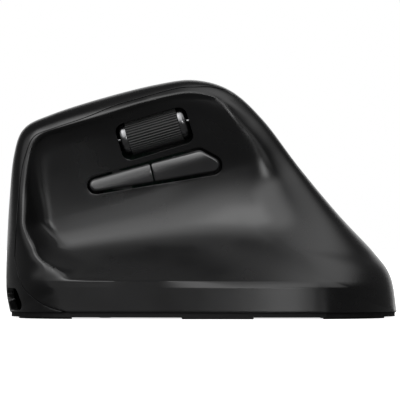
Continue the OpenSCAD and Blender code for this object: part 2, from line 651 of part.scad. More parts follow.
module roller_cradle() color([0.2, 0.2, 0.2]) difference() {
    at_roller() {
        xyz_box([-arm_in - arm_thickness, -cradle_half, cradle_back - cradle_plate],
            [arm_in + arm_thickness + 0.3 + encoder_thickness, cradle_half, cradle_back]);
        for (s = [-1, 1])
            xyz_box([s * (arm_in + arm_thickness / 2) - arm_thickness / 2, -cradle_half, cradle_back - eps],
                [s * (arm_in + arm_thickness / 2) + arm_thickness / 2, cradle_half, cradle_top]);
    }
    along_roller(-slot_length) cylinder(r = journal_r + run_clear, h = 2 * slot_length);
}
module roller_encoder() color([0.1, 0.2, 0.15]) difference() {
    at_roller() xyz_box([arm_in + arm_thickness + 0.3, -cradle_half, cradle_back],
        [arm_in + arm_thickness + 0.3 + encoder_thickness, cradle_half, cradle_top]);
    along_roller(0) cylinder(r = journal_r + run_clear, h = slot_length);
}

// Scroll wheel on a carrier that tilts about a pin when the wheel is pressed
module along_wheel(from) {
    at_fingers() translate([wheel_at.x, from, wheel_at.z]) rotate([-90, 0, 0]) children();
}
hub_r = wheel_d / 2 - 2.4;
tyre_ribs = 36;
module scroll_tyre() color([0.03, 0.03, 0.03]) along_wheel(-wheel_w / 2) difference() {
    linear_extrude(wheel_w) polygon([for (i = [0:tyre_ribs * 4 - 1])
        let (r = wheel_d / 2 - (i % 4 < 2 ? 0 : 0.5), a = i * 90 / tyre_ribs) r * [cos(a), sin(a)]]);
    translate([0, 0, -1]) cylinder(r = hub_r, h = wheel_w + 2);
}
module scroll_hub() color([0.2, 0.2, 0.2]) along_wheel(-wheel_w / 2) difference() {
    cylinder(r = hub_r, h = wheel_w);
    translate([0, 0, -1]) cylinder(r = axle_r, h = wheel_w + 2);
    for (z = [-1, wheel_w - 1.4]) translate([0, 0, z]) difference() {
        cylinder(r = hub_r - 1.4, h = 2.4);
        translate([0, 0, -1]) cylinder(r = axle_r + 1.4, h = 5);
    }
}
axle_end = carrier_half + carrier_wall;
scroll_encoder_y = axle_end + 0.5;
scroll_encoder_w = 2.4;
module scroll_axle() color("silver") along_wheel(-axle_end - 0.2)
    cylinder(r = axle_r, h = 2 * axle_end + 0.7 + scroll_encoder_w - 0.6);
carrier_low = carrier_pin_at.z - 1.9;
arm_low = board_top + 2 * free_gap + 0.1;
bar_x = [middle_switch_x - 1.3, middle_switch_x + 1.3];
middle_tip = tact_top + plunger_rise;
module wheel_carrier() color([0.16, 0.16, 0.16]) difference() {
    at_fingers() {
        for (y = [-carrier_half - carrier_wall, carrier_half]) {
            xyz_box([bar_x[0], y, arm_low], [carrier_pin_at.x + 2, y + carrier_wall, wheel_at.z + 2.2]);
            xyz_box([window_x[0] + 1, y, carrier_low],
                [carrier_pin_at.x + 2, y + carrier_wall, arm_low + eps]);
        }
        xyz_box([bar_x[0], -carrier_half - eps, middle_tip + touch_gap],
            [bar_x[1], carrier_half + eps, wheel_at.z + 2.2]);
    }
    along_wheel(-half_w) cylinder(r = axle_r + run_clear, h = body_width);
    at_fingers() translate([carrier_pin_at.x, -half_w, carrier_pin_at.z]) rotate([-90, 0, 0])
        cylinder(r = carrier_pin_r + run_clear, h = body_width);
}
lug_y = [axle_end + 0.4, axle_end + 2];
module carrier_pin() color("silver") at_fingers() translate([carrier_pin_at.x, -lug_y[1], carrier_pin_at.z])
    rotate([-90, 0, 0]) cylinder(r = carrier_pin_r, h = 2 * lug_y[1]);
module scroll_encoder() color([0.1, 0.2, 0.15]) difference() {
    at_fingers() xyz_box([wheel_at.x - 4, scroll_encoder_y, board_top],
        [wheel_at.x + 4, scroll_encoder_y + scroll_encoder_w, wheel_at.z + 2.6]);
    along_wheel(0) cylinder(r = axle_r + 0.6, h = half_w);
}

// Frame: an upright web with feet on the base, a plate under the main buttons and a seat for the cradle
window_x = [middle_switch_x + tact_side / 2 + 0.3, carrier_pin_at.x + 2.6];
window_half = lug_y[0] - 0.1;
web_x = [front_x + 24, front_x + 66];
web_top = roller_z + 7.5;
web_shoulder = roller_z - 2;
plate_y = [-15, 16];
hinge_lug_y = boss_y[0] - 2;
module frame() color([0.22, 0.22, 0.23]) difference() {
    union() {
        xyz_box([web_x[0], web_y, shell_z], [web_x[1], web_y + frame_plate, web_shoulder]);
        xyz_box([web_x[0] + 8, web_y, shell_z], [web_x[1] - 6, web_y + frame_plate, web_top]);
        for (p = frame_screws)
            xyz_box([p.x - 4.5, web_y - 7, shell_z], [p.x + 4.5, web_y + eps, shell_z + 5]);
        at_fingers() {
            xyz_box([button_front + 1, plate_y[0], plate_low], [hinge_back + 3, plate_y[1], plate_top]);
            for (s = [-1, 1]) {
                xyz_box([hinge_back - 2.6, s * hinge_lug_y - 1.5, plate_low],
                    [hinge_back + 2.6, s * hinge_lug_y + 1.5, hinge_z + 2.2]);
                xyz_box([carrier_pin_at.x - 1.8, s > 0 ? lug_y[0] : -lug_y[1], plate_low],
                    [carrier_pin_at.x + 1.8, s > 0 ? lug_y[1] : -lug_y[0], carrier_pin_at.z + 1.8]);
            }
        }
        at_roller() xyz_box([-8, -cradle_half, cradle_back - cradle_plate - 4],
            [8, cradle_half, cradle_back - cradle_plate]);
    }
    at_fingers() {
        xyz_box([window_x[0], -window_half, plate_low - 20], [window_x[1], window_half, 0]);
        xyz_box([button_front - 3, lug_y[1] + 0.1, plate_top], [hinge_back - 3, plate_y[1] + 1, 0]);
        xyz_box([button_front - 3, plate_y[0] - 0.4, plate_top], [hinge_back - 3, -lug_y[1] - 0.1, 0]);
        translate([hinge_back, -half_w, hinge_z]) rotate([-90, 0, 0]) cylinder(r = hinge_r, h = body_width);
        translate([carrier_pin_at.x, -half_w, carrier_pin_at.z]) rotate([-90, 0, 0])
            cylinder(r = carrier_pin_r, h = body_width);
        for (p = button_board_screws) translate([p.x, p.y, plate_low - 1])
            cylinder(r = screw_r, h = frame_plate + 2);
    }
    xyz_box([web_x[0] - 8, scoop_y, thumb_board_z[0] - 2], [web_x[1] + 8, web_y, thumb_board_z[1] + 1]);
    at_roller() xyz_box([-arm_in - 4, -cradle_half - 3, cradle_back - cradle_plate],
        [arm_in + 8, cradle_half + 3, 0]);
    for (p = frame_screws) translate([p.x, p.y, shell_z - 1]) cylinder(r = screw_r, h = screw_length + 1);
    for (p = thumb_board_screws) translate([p.x, web_y - 1, p.y]) rotate([-90, 0, 0])
        cylinder(r = screw_r, h = frame_plate + 2);
}

// Circuit boards
button_board_screws = [[hinge_back - 7, 13], [hinge_back - 7, -12]];
module button_board() color([0.05, 0.25, 0.12]) difference() {
    at_fingers() difference() {
        xyz_box([button_front + 1, plate_y[0], plate_top], [hinge_back - 3.2, plate_y[1], board_top]);
        xyz_box([window_x[0], -window_half, plate_low], [window_x[1], window_half, 0]);
        xyz_box([carrier_pin_at.x - 2.1, -lug_y[1] - 0.3, plate_low],
            [carrier_pin_at.x + 2.1, lug_y[1] + 0.3, 0]);
        for (p = button_board_screws) translate([p.x, p.y, plate_low]) cylinder(r = screw_r + 0.1, h = 20);
    }
    at_roller() xyz_box([-arm_in - 4, -cradle_half - 1, cradle_back - cradle_plate - 1],
        [arm_in + 8, cradle_half + 1, 0]);
}
thumb_board_x = [side_switch(-1).x - 5.5, side_switch(1).x + 5.5];
thumb_board_z = [side_switch(-1).y - 5, side_switch(1).y + 4.2];
thumb_board_screws = [[thumb_board_x[0] + 2.5, thumb_board_z[1] - 2.5],
    [thumb_board_x[1] - 2.5, thumb_board_z[0] + 2.5]];
module thumb_board() color([0.05, 0.25, 0.12]) difference() {
    xyz_box([thumb_board_x[0], thumb_board_y, thumb_board_z[0]], [thumb_board_x[1], web_y, thumb_board_z[1]]);
    for (p = thumb_board_screws) translate([p.x, web_y - 5, p.y]) rotate([-90, 0, 0])
        cylinder(r = screw_r + 0.1, h = 10);
}
main_board_z = port_z - 0.9;
main_board_x = [front_x + 5.5, web_x[1]];
main_board_y = [web_y + frame_plate + 0.4, web_y + frame_plate + 23];
board_bosses = [[front_x + 21, 5], [front_x + 62, 17], [front_x + 36, 18]];
module main_board() color([0.05, 0.25, 0.12]) difference() {
    union() {
        xyz_box([web_x[0] - 1, main_board_y[0], main_board_z],
            [main_board_x[1], main_board_y[1], main_board_z + board_thickness]);
        xyz_box([main_board_x[0] + 2, port_y - 7, main_board_z],
            [web_x[0] - 0.4, main_board_y[1] - 7.5, main_board_z + board_thickness]);
    }
    xyz_box([front_x, port_y - port_w / 2, 0], [port_front + port_depth, port_y + port_w / 2, 20]);
    for (p = board_bosses) translate([p.x, p.y, 0]) cylinder(r = screw_r + 0.1, h = 20);
}

// Switches and their plungers
module switch_body(l, w, h) {
    difference() {
        translate([-l / 2, -w / 2, -h]) cube([l, w, h]);
        translate([0, 0, -2.2]) cylinder(r = plunger_r + run_clear, h = 3);
    }
}
module switch_plunger() {
    translate([0, 0, -1.4]) cylinder(r = plunger_r, h = 1.4 + plunger_rise);
}
module at_main_switch(way) {
    at_fingers() translate([main_switch_x, way * main_switch_y, switch_top]) children();
}
module at_board_tact(x) {
    at_fingers() translate([x, 0, tact_top]) children();
}
module at_side_switch(way) {
    translate([side_switch(way).x, thumb_switch_y, side_switch(way).y]) rotate([90, 0, 0]) children();
}
module left_switch() color([0.15, 0.15, 0.16]) at_main_switch(-1)
    switch_body(switch_length, switch_width, switch_height);
module right_switch() color([0.15, 0.15, 0.16]) at_main_switch(1)
    switch_body(switch_length, switch_width, switch_height);
module middle_switch() color([0.15, 0.15, 0.16]) at_board_tact(middle_switch_x)
    switch_body(tact_side, tact_side, tact_height);
module resolution_switch() color([0.15, 0.15, 0.16]) at_board_tact(resolution_x)
    switch_body(tact_side, tact_side, tact_height);
module forward_switch() color([0.15, 0.15, 0.16]) at_side_switch(-1)
    switch_body(tact_side, tact_side, tact_height);
module back_switch() color([0.15, 0.15, 0.16]) at_side_switch(1)
    switch_body(tact_side, tact_side, tact_height);
module left_plunger() color("ivory") at_main_switch(-1) switch_plunger();
module right_plunger() color("ivory") at_main_switch(1) switch_plunger();
module middle_plunger() color("ivory") at_board_tact(middle_switch_x) switch_plunger();
module resolution_plunger() color("ivory") at_board_tact(resolution_x) switch_plunger();
module forward_plunger() color("ivory") at_side_switch(-1) switch_plunger();
module back_plunger() color("ivory") at_side_switch(1) switch_plunger();

// Charging receptacle set into the front edge of the main board
port_w = 9;
port_h = 3.2;
port_front = front_x + 5.2;
port_depth = 7.4;
module port_tube(w, h, l) {
    rotate([90, 0, 90]) linear_extrude(l) {
        square([w - h, h], center = true);
        for (s = [-1, 1]) translate([s * (w - h) / 2, 0]) circle(d = h);
    }
}
module charging_port() color("silver") translate([port_front, port_y, port_z]) {
    difference() {
        port_tube(port_w, port_h, port_depth);
        translate([-1, 0, 0]) port_tube(port_w - 0.6, port_h - 0.6, port_depth);
    }
    xyz_box([0.8, -3.3, -0.35], [port_depth, 3.3, 0.35]);
}

// Battery on the base plate under the thumb floor
battery_x = [front_x + 46, thumb_post.x - post_r - 5];
battery_y = [-half_w + 7, web_y - 8.05];
battery_height = 6;
module battery() color([0.55, 0.57, 0.6])
    xyz_box([battery_x[0], battery_y[0], shell_z], [battery_x[1], battery_y[1], shell_z + battery_height]);

// Sensor under the main board, looking through its lens and the base plate
sensor_at = [front_x + 47, 8];
sensor_size = [10, 9];
lens_size = [14, 12];
lens_plug = [9.6, 6.6];
lens_rest = 1;
module block(at, size, z0, z1) {
    translate([at.x - size.x / 2, at.y - size.y / 2, z0]) cube([size.x, size.y, z1 - z0]);
}
module optical_sensor() color([0.1, 0.1, 0.1])
    block(sensor_at, sensor_size, shell_z + lens_rest, main_board_z);
module sensor_lens() color([0.7, 0.75, 0.8]) {
    block(sensor_at, lens_size, shell_z, shell_z + lens_rest);
    block(sensor_at, lens_plug, foot_rise + 0.4, shell_z + eps);
}

// Power switch under the main board, moved by a slider in the base plate
power_at = [front_x + 31, 8];
power_travel = 3;
knob = [4, 3.6];
keeper = [6, 6];
module power_switch() color([0.2, 0.2, 0.2])
    block(power_at + [power_travel / 2, 0], [9, 4.5], main_board_z - 1.5, main_board_z);
module power_slider() color([0.3, 0.3, 0.3]) {
    block(power_at, knob, foot_rise + 0.2, shell_z + 0.5);
    block(power_at, keeper, shell_z + 0.15, shell_z + 0.8);
}

// Base plate and feet
plan_ends = [outline[0].x + base_inset + 0.1, outline[last].x - base_inset - 0.1];
plan_x = [for (k = [0:32]) plan_ends[0] + (plan_ends[1] - plan_ends[0]) * (0.5 - 0.5 * cos(5.625 * k))];
function plan(i, xs) = concat([for (x = xs) [x, thumb(x, shell_z, i)]],
    [for (k = [len(xs) - 1:-1:0]) [xs[k], finger(xs[k], shell_z, i)]]);
foot_edge = 2.6;
foot_band = 8;
foot_end = 6;
front_xs = [for (x = [4, 4.5, 5.5, 7, 9, 12, 16, 20.5]) front_x + x];
rear_xs = [for (x = [4, 4.5, 5.5, 7, 9, 12, 17, 23]) rear_x - x];
// A foot along the outline of the base, with a rounded inner edge
function crescent(xs) =
    let (end = xs[len(xs) - 1], a = thumb(end, shell_z, foot_edge) + foot_end,
        b = finger(end, shell_z, foot_edge) - foot_end, depth = end - xs[0],
        arc = depth - sign(depth) * foot_band)
    concat([for (k = [len(xs) - 1:-1:0]) [xs[k], thumb(xs[k], shell_z, foot_edge)]],
        [for (x = xs) [x, finger(x, shell_z, foot_edge)]],
        [for (t = [0:12:180]) [end - arc * sin(t), (a + b) / 2 + (b - a) / 2 * cos(t)]]);
front_shape = crescent(front_xs);
rear_shape = crescent(rear_xs);
side_xs = [for (x = [54, 58, 62, 66, 70, 75.8]) front_x + x];
side_shape = concat([for (x = side_xs) [x, thumb(x, shell_z, foot_edge)]],
    [for (k = [len(side_xs) - 1:-1:0]) [side_xs[k], thumb(side_xs[k], shell_z, foot_edge) + foot_band]]);
module foot(points) {
    linear_extrude(foot_thickness) polygon(points);
}
module front_foot() color([0.12, 0.12, 0.12]) foot(front_shape);
module rear_foot() color([0.12, 0.12, 0.12]) foot(rear_shape);
module side_foot() color([0.12, 0.12, 0.12]) foot(side_shape);
module base_plate() color([0.03, 0.03, 0.03]) difference() {
    union() {
        translate([0, 0, foot_rise]) linear_extrude(base_thickness) polygon(plan(base_inset, plan_x));
        for (p = board_bosses) translate([p.x, p.y, shell_z - eps])
            cylinder(r = boss_r, h = main_board_z - shell_z + eps);
    }
    for (shape = [front_shape, rear_shape, side_shape]) foot(shape);
    for (p = base_screw_places) translate([p.x, p.y, -1]) {
        cylinder(r = screw_r + 0.15, h = 10);
        cylinder(r = screw_head_r + 0.2, h = 1 + foot_thickness + 0.4);
    }
    for (p = board_bosses) translate([p.x, p.y, foot_rise + 0.6]) cylinder(r = screw_r, h = 10);
    block(sensor_at, lens_plug + [0.4, 0.4], -1, 10);
    block(power_at + [power_travel / 2, 0], knob + [power_travel + 0.8, 0.8], -1, 10);
}
screw_head = 1.1;
module screw(length) {
    cylinder(r = screw_r, h = length);
    translate([0, 0, -screw_head]) cylinder(r = screw_head_r, h = screw_head);
}
module base_screws() color("gray") for (p = base_screw_places)
    translate([p.x, p.y, foot_thickness + 0.4]) screw(screw_length);
module board_screws() color("gray") {
    for (p = board_bosses) translate([p.x, p.y, main_board_z + board_thickness]) mirror([0, 0, 1])
        screw(board_thickness + 2.6);
    at_fingers() for (p = button_board_screws) translate([p.x, p.y, board_top]) mirror([0, 0, 1])
        screw(board_thickness + frame_plate);
    for (p = thumb_board_screws) translate([p.x, thumb_board_y, p.y]) rotate([-90, 0, 0])
        screw(board_thickness + frame_plate);
}

base_plate();
main_shell();
thumb_shell();
left_button();
right_button();
left_lever();
right_lever();
hinge_pin();
resolution_button();
forward_button();
back_button();
roller_sleeve();
roller_rings();
roller_axle();
roller_cradle();
roller_encoder();
scroll_tyre();
scroll_hub();
scroll_axle();
wheel_carrier();
carrier_pin();
scroll_encoder();
frame();
button_board();
thumb_board();
main_board();
left_switch();
right_switch();
middle_switch();
resolution_switch();
forward_switch();
back_switch();
left_plunger();
right_plunger();
middle_plunger();
resolution_plunger();
forward_plunger();
back_plunger();
battery();
optical_sensor();
sensor_lens();
charging_port();
power_switch();
power_slider();
front_foot();
rear_foot();
side_foot();
base_screws();
board_screws();
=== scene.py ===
import json
import math
import bpy
import numpy as np
from mathutils import Matrix, Vector
from mathutils.kdtree import KDTree


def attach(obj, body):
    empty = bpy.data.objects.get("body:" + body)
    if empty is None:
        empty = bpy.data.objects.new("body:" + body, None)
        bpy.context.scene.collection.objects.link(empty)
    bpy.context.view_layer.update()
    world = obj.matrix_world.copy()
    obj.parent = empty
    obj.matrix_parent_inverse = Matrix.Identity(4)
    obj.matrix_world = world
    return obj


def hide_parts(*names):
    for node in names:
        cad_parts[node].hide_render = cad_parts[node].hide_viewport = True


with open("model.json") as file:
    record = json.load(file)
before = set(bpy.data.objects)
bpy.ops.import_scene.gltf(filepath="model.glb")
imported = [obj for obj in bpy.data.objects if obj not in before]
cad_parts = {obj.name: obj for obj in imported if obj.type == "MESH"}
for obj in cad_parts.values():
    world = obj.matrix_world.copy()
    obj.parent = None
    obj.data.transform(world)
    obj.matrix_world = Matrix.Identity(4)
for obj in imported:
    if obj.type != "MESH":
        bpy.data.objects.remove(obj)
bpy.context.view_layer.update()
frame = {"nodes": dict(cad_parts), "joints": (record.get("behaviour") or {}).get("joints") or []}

scene = bpy.context.scene

# The body's outer form, in millimetres.
# The real mouse is two thin moulded shells over one base, and both follow this one smooth
# skin: a steep thumb side with a scoop and a flange, and a rounded finger side.
front_x = -60.0
rear_x = 60.0
half_w = 38.0
body_height = 72.9
shell_z = 2.0
shell_wall = 2.0
part_gap = 0.35
ridge_y = -8.0
nose_y = 6.0
rim_y = -16.5
scoop_y = -11.0
scoop_z = 40.0
flange_height = 9.6
lip_height = 11.6
nose_height = 17.0
thumb_wide_x = 14.0
thumb_taper_front = 0.40
thumb_taper_rear = 0.26
finger_wide_x = 10.0
finger_taper_front = 0.40
finger_taper_rear = 0.25
scoop_rise = 0.3
scoop_corner = 30.0
scoop_soft = 1.6
scoop_drop = 16.0
shoulder_x = 33.0
shoulder_lean = 28.0
shoulder_fade = 32.0
shoulder_foot_fade = 26.0
shoulder_soft = 0.5
bead_width = 1.1
rim_z = body_height - 5.9
little_finger_step = 2.0
outline_knots = np.array([
    (-0.982, 0.027), (-0.9993, 0.123), (-0.996, 0.288), (-0.982, 0.494), (-0.958, 0.686),
    (-0.905, 0.798), (-0.767, 0.856), (-0.517, 0.922), (-0.233, 0.981), (-0.033, 1.0), (0.15, 0.955),
    (0.317, 0.83), (0.5, 0.632), (0.7, 0.435), (0.883, 0.274), (0.967, 0.174), (1.0, 0.027),
]) * (rear_x, body_height)


def smooth_curve(knots, steps):
    """A curve through the knots, with that many points from each knot to the next."""
    ends = np.vstack([2 * knots[0] - knots[1], knots, 2 * knots[-1] - knots[-2]])
    t = (np.arange(steps) / steps)[:, None]
    points = []
    for a, b, c, d in zip(ends, ends[1:], ends[2:], ends[3:]):
        points.append(0.5 * (2 * b + (c - a) * t + (2 * a - 5 * b + 4 * c - d) * t ** 2
                             + (3 * b - a - 3 * c + d) * t ** 3))
    return np.vstack(points + [knots[-1:]])


outline = smooth_curve(outline_knots, 12)
along = np.vstack([outline[1] - outline[0], outline[2:] - outline[:-2], outline[-1] - outline[-2]])
along /= np.linalg.norm(along, axis=1)[:, None]
outline_normals = np.stack([-along[:, 1], along[:, 0]], 1)
eye = np.array((-4.0, 26.0))


def turn(x, z):
    """Angle round the side view: 90 is the front, 180 the ridge and 270 the rear."""
    return np.degrees(np.arctan2(eye[0] - x, eye[1] - z)) % 360


below = np.array([(0, z) for z in (-60, -35, -20, -11, -6, -2)])
reach = np.vstack([below + (outline[0, 0], 0), outline, below[::-1] + (outline[-1, 0], 0)])
reach_normals = np.vstack([[(-1, 0)] * 6, outline_normals, [(1, 0)] * 6])
reach_turns = turn(reach[:, 0], reach[:, 1])
reach_far = np.linalg.norm(reach - eye, axis=1)
slant = ((reach - eye) * reach_normals).sum(1) / reach_far
slant_reach = 9
slant = np.array([slant[max(0, i - slant_reach):i + slant_reach + 1].mean() for i in range(len(slant))])


def edge(x, z, t):
    """Distance in from the outline of the side view."""
    far = np.hypot(x - eye[0], z - eye[1])
    return (np.interp(t, reach_turns, reach_far) - far) * np.interp(t, reach_turns, slant)


def clamp01(t):
    return np.clip(t, 0, 1)


def ease(a, b, t):
    k = clamp01((t - a) / (b - a))
    return k * k * (3 - 2 * k)


def dome(t):
    return np.sqrt(np.maximum(0, 1 - (1 - clamp01(t)) ** 2))


def bowl(t, soft):
    """A rise from 0 to 1, steepest where it starts, with its start rounded off."""
    return 1 - (1 - clamp01((t + np.sqrt(t * t + soft ** 2)) / 2)) ** 3


def step_up(at, soft, t):
    """A smooth step from 0 to 1 about a place."""
    return 1 / (1 + np.exp((at - t) / soft))


def station(t, stations):
    """Value between (turn, value) stations, eased from each to the next."""
    value = np.full(np.shape(t), float(stations[0][1]))
    for (a, u), (b, v) in zip(stations, stations[1:]):
        value = value + (v - u) * ease(a, b, t)
    return value


rim_stations = [(55, 24), (72, 15), (84, 9), (95, 5.4), (108, 4.6), (120, 4.6), (140, 5), (165, 4),
                (190, 3.2), (220, 2), (250, 1)]
scoop_stations = [(60, 14), (80, 12), (96, 9), (120, 8), (180, 9), (205, 16)]
thumb_round = [(50, 18), (75, 13), (95, 6), (120, 4.6), (140, 5), (170, 4.6), (190, 5), (210, 9), (240, 17),
               (270, 22), (300, 24)]
bead_stations = [(92, 0), (112, 0.5), (125, 0.6), (180, 0.6), (195, 0.4), (215, 0)]
finger_round = [(60, 16), (90, 10), (120, 8), (150, 9), (190, 9), (210, 12), (240, 20), (300, 24)]


def spine(z):
    """Sideways place of the line where the two sides of the body meet."""
    return nose_y + (ridge_y - nose_y) * clamp01(z / body_height) ** 0.8


def thumb(x, z):
    """Thumb side of the body at a point of the side view."""
    t = turn(x, z)
    d = edge(x, z, t)
    s = spine(z)
    ahead = np.maximum(0, thumb_wide_x - x) / (thumb_wide_x - front_x)
    behind = np.maximum(0, x - thumb_wide_x) / (rear_x - thumb_wide_x)
    foot = -half_w * (1 - thumb_taper_front * ahead ** 2.2 - thumb_taper_rear * behind ** 2.2)
    rim = rim_y + 2.5 * ease(-20, -58, x)
    k = clamp01((rim_z - z) / (rim_z - flange_height))
    forward = ease(10, -50, x)
    k_front = clamp01((rim_z - z) / (rim_z - nose_height))
    swell = k_front ** 4 * (5 - 4 * k_front) * forward + (1 - (1 - k) ** 1.25) * (1 - forward)
    hull = rim + (foot - rim) * swell
    axis_z = scoop_z + scoop_rise * (x + 10)
    lip_y = foot + 2 * ease(-14, 14, x)
    down = clamp01((axis_z - z) / (axis_z - lip_height))
    up = np.clip((z - axis_z) / (rim_z - axis_z), 0, 1.3)
    ledge = lip_y + (foot - lip_y) * clamp01((lip_height - z) / (lip_height - flange_height)) ** 0.7
    floor = scoop_y + (lip_y - scoop_y) * down ** 3
    roof = scoop_y + (rim + 0.6 - scoop_y) * up ** 1.45
    scoop = np.where(z < lip_height, ledge, np.where(z < axis_z, floor, roof))
    rim_d = station(t, rim_stations)
    fade = station(t, scoop_stations)
    a = np.maximum(0, scoop_corner - d + rim_d)
    b = np.maximum(0, scoop_corner - (z - lip_height + scoop_drop))
    shoulder = shoulder_x - shoulder_lean * step_up(52, 9, z)
    behind_fade = shoulder_fade + shoulder_foot_fade * step_up(40, -7, z)
    soft = scoop_soft * (0.6 + 0.4 * ease(88, 108, t)) / fade
    mask = 1 - (1 - bowl((scoop_corner - np.hypot(a, b)) / fade, soft)) * (1 - ease(189, 218, t))
    mask = mask * bowl((shoulder - x) / behind_fade, shoulder_soft)
    full = hull + (scoop - hull) * mask
    bead = station(t, bead_stations) * np.exp(-((d - rim_d - 0.4) / bead_width) ** 2)
    return s + (full - s) * dome(d / np.maximum(1.5, station(t, thumb_round))) - bead


def finger(x, z):
    """Finger side of the body at a point of the side view."""
    t = turn(x, z)
    d = edge(x, z, t)
    s = spine(z)
    top = body_height + 2.1
    share = clamp01((z - shell_z) / (top - shell_z))
    full = ridge_y + (half_w - little_finger_step - ridge_y) * np.maximum(0, 1 - share ** 1.6) ** (1 / 1.5)
    full = full + little_finger_step * (1 - ease(shell_z, shell_z + 11, z))
    ahead = np.maximum(0, finger_wide_x - x) / (finger_wide_x - front_x)
    behind = np.maximum(0, x - finger_wide_x) / (rear_x - finger_wide_x)
    wide = 1 - finger_taper_front * ahead ** 2 - finger_taper_rear * behind ** 2
    return s + (full - s) * wide * dome(d / np.maximum(2, station(t, finger_round)))


# Rays run from the outline and the lower edge in to a middle point, with close rings at the
# outline and at the thumb ledge, where the skin turns fastest.
middle = np.array((-14.0, 44.0))
foot_count = 96
arch_rings = np.concatenate([np.linspace(0, 1, 8) ** 2 * 1.5, np.linspace(1.5, 12, 36)[1:],
                             np.linspace(12, 26, 36)[1:], np.linspace(26, 49.4, 24)[1:]])
foot_rings = np.concatenate([np.linspace(0, 7.2, 13), np.linspace(7.2, 11, 27)[1:],
                             np.linspace(11, 41.5, len(arch_rings) - 38)[1:]])
ring_count = len(arch_rings)
share = np.arange(1, foot_count + 1) / (foot_count + 1)
foot_x = outline[-1, 0] + (outline[0, 0] - outline[-1, 0]) * (0.5 - 0.5 * np.cos(np.pi * share))
ray_ends = np.vstack([outline, np.stack([foot_x, np.full(foot_count, shell_z)], 1)])
ray_ends[0, 1] = shell_z
ray_ends[len(outline) - 1, 1] = shell_z
ray_share = np.concatenate([1 - ease(2, 22, outline[:, 1]), np.ones(foot_count)])[:, None]
ring_share = (1 - arch_rings / 50) * (1 - ray_share) + (1 - foot_rings / (middle[1] - shell_z)) * ray_share
sheet_xz = middle + ring_share[:, :, None] * (ray_ends - middle)[:, None, :]
ray_count = len(ray_ends)


def grid_tris(rows, columns, close_rows, close_columns):
    """Triangles between the points of a grid, joined round where it closes."""
    i, j = np.meshgrid(np.arange(rows if close_rows else rows - 1),
                       np.arange(columns if close_columns else columns - 1), indexing="ij")
    after = (i + 1) % rows * columns
    a = (i * columns + j).ravel()
    b = (after + j).ravel()
    c = (after + (j + 1) % columns).ravel()
    d = (i * columns + (j + 1) % columns).ravel()
    return np.vstack([np.stack([a, b, c], 1), np.stack([a, c, d], 1)])


def sheet(side, outwards):
    """One side of the skin as points and triangles that face outwards."""
    x = sheet_xz[:, :, 0]
    z = sheet_xz[:, :, 1]
    y = side(x, z)
    y[:len(outline), 0] = spine(z[:len(outline), 0])
    points = np.stack([x, y, z], 2).reshape(-1, 3)
    pole = side(middle[:1], middle[1:])
    points = np.vstack([points, (middle[0], pole[0], middle[1])])
    ends = np.arange(ray_count) * ring_count + ring_count - 1
    fan = np.stack([ends, np.roll(ends, -1), np.full(ray_count, len(points) - 1)], 1)
    tris = np.vstack([grid_tris(ray_count, ring_count, True, False), fan])
    return points, tris if outwards else tris[:, ::-1]


thumb_points, thumb_tris = sheet(thumb, False)
finger_points, finger_tris = sheet(finger, True)


# The thumb shell: the moulded wall of the scoop, from the seam under the ridge down to the flange.
# It is satin black plastic, screwed to the base from below, with slots for the roller and the thumb keys.
seam_stations = [(80, 3), (105, 3.2), (122, 4.2), (137, 4.6), (155, 3.3), (181, 2.4), (192, 1.2), (202, -1.5)]
nose_seam = [(20.2, 0), (14.7, 1.4), (10.4, 3.5), (6.1, 7.2), (4.3, 11.5)]
nose_seam_top = 18.0
snap_share = 0.25
draw_start = 0.75
draw_range = 0.15
unworn_mm = 9.0


def trim(points, tris, field):
    """Keeps the part of a skin where the field is over zero, cut along the field's zero line."""
    f = field(points)
    points = points.copy()
    pairs = np.unique(np.sort(np.vstack([tris[:, :2], tris[:, 1:], tris[:, ::2]]), axis=1), axis=0)
    cross = pairs[f[pairs[:, 0]] * f[pairs[:, 1]] < 0]
    nearest = {}
    for a, b in cross:
        t = f[a] / (f[a] - f[b])
        for v, w, k in ((a, b, t), (b, a, 1 - t)):
            if k < snap_share and k < nearest.get(v, (1, 0))[0]:
                nearest[v] = (k, w)
    spots = {v: points[v] + k * (points[w] - points[v]) for v, (k, w) in nearest.items()}
    for v, p in spots.items():
        points[v] = p
        f[v] = 0
    sign = np.sign(f)
    corner = sign[tris]
    kept = [tris[(corner.min(1) >= 0) & (corner.max(1) > 0)]]
    added = []
    cuts = {}

    def cut(a, b):
        key = (min(a, b), max(a, b))
        if key not in cuts:
            t = f[a] / (f[a] - f[b])
            cuts[key] = len(points) + len(added)
            added.append(points[a] + t * (points[b] - points[a]))
        return cuts[key]

    split = []
    for tri in tris[(corner.min(1) < 0) & (corner.max(1) > 0)]:
        poly = []
        for a, b in zip(tri, np.roll(tri, -1)):
            if sign[a] >= 0:
                poly.append(a)
            if sign[a] * sign[b] < 0:
                poly.append(cut(a, b))
        split += [(poly[0], poly[i], poly[i + 1]) for i in range(1, len(poly) - 1)]
    if split:
        kept.append(np.array(split))
    if added:
        points = np.vstack([points, added])
    tris = np.vstack(kept)
    used, tris = np.unique(tris, return_inverse=True)
    return points[used], tris.reshape(-1, 3)


def normals_of(points, tris):
    a, b, c = (points[tris[:, i]] for i in range(3))
    face = np.cross(b - a, c - a)
    normals = np.zeros_like(points)
    for i in range(3):
        np.add.at(normals, tris[:, i], face)
    return normals / np.maximum(1e-12, np.linalg.norm(normals, axis=1))[:, None]


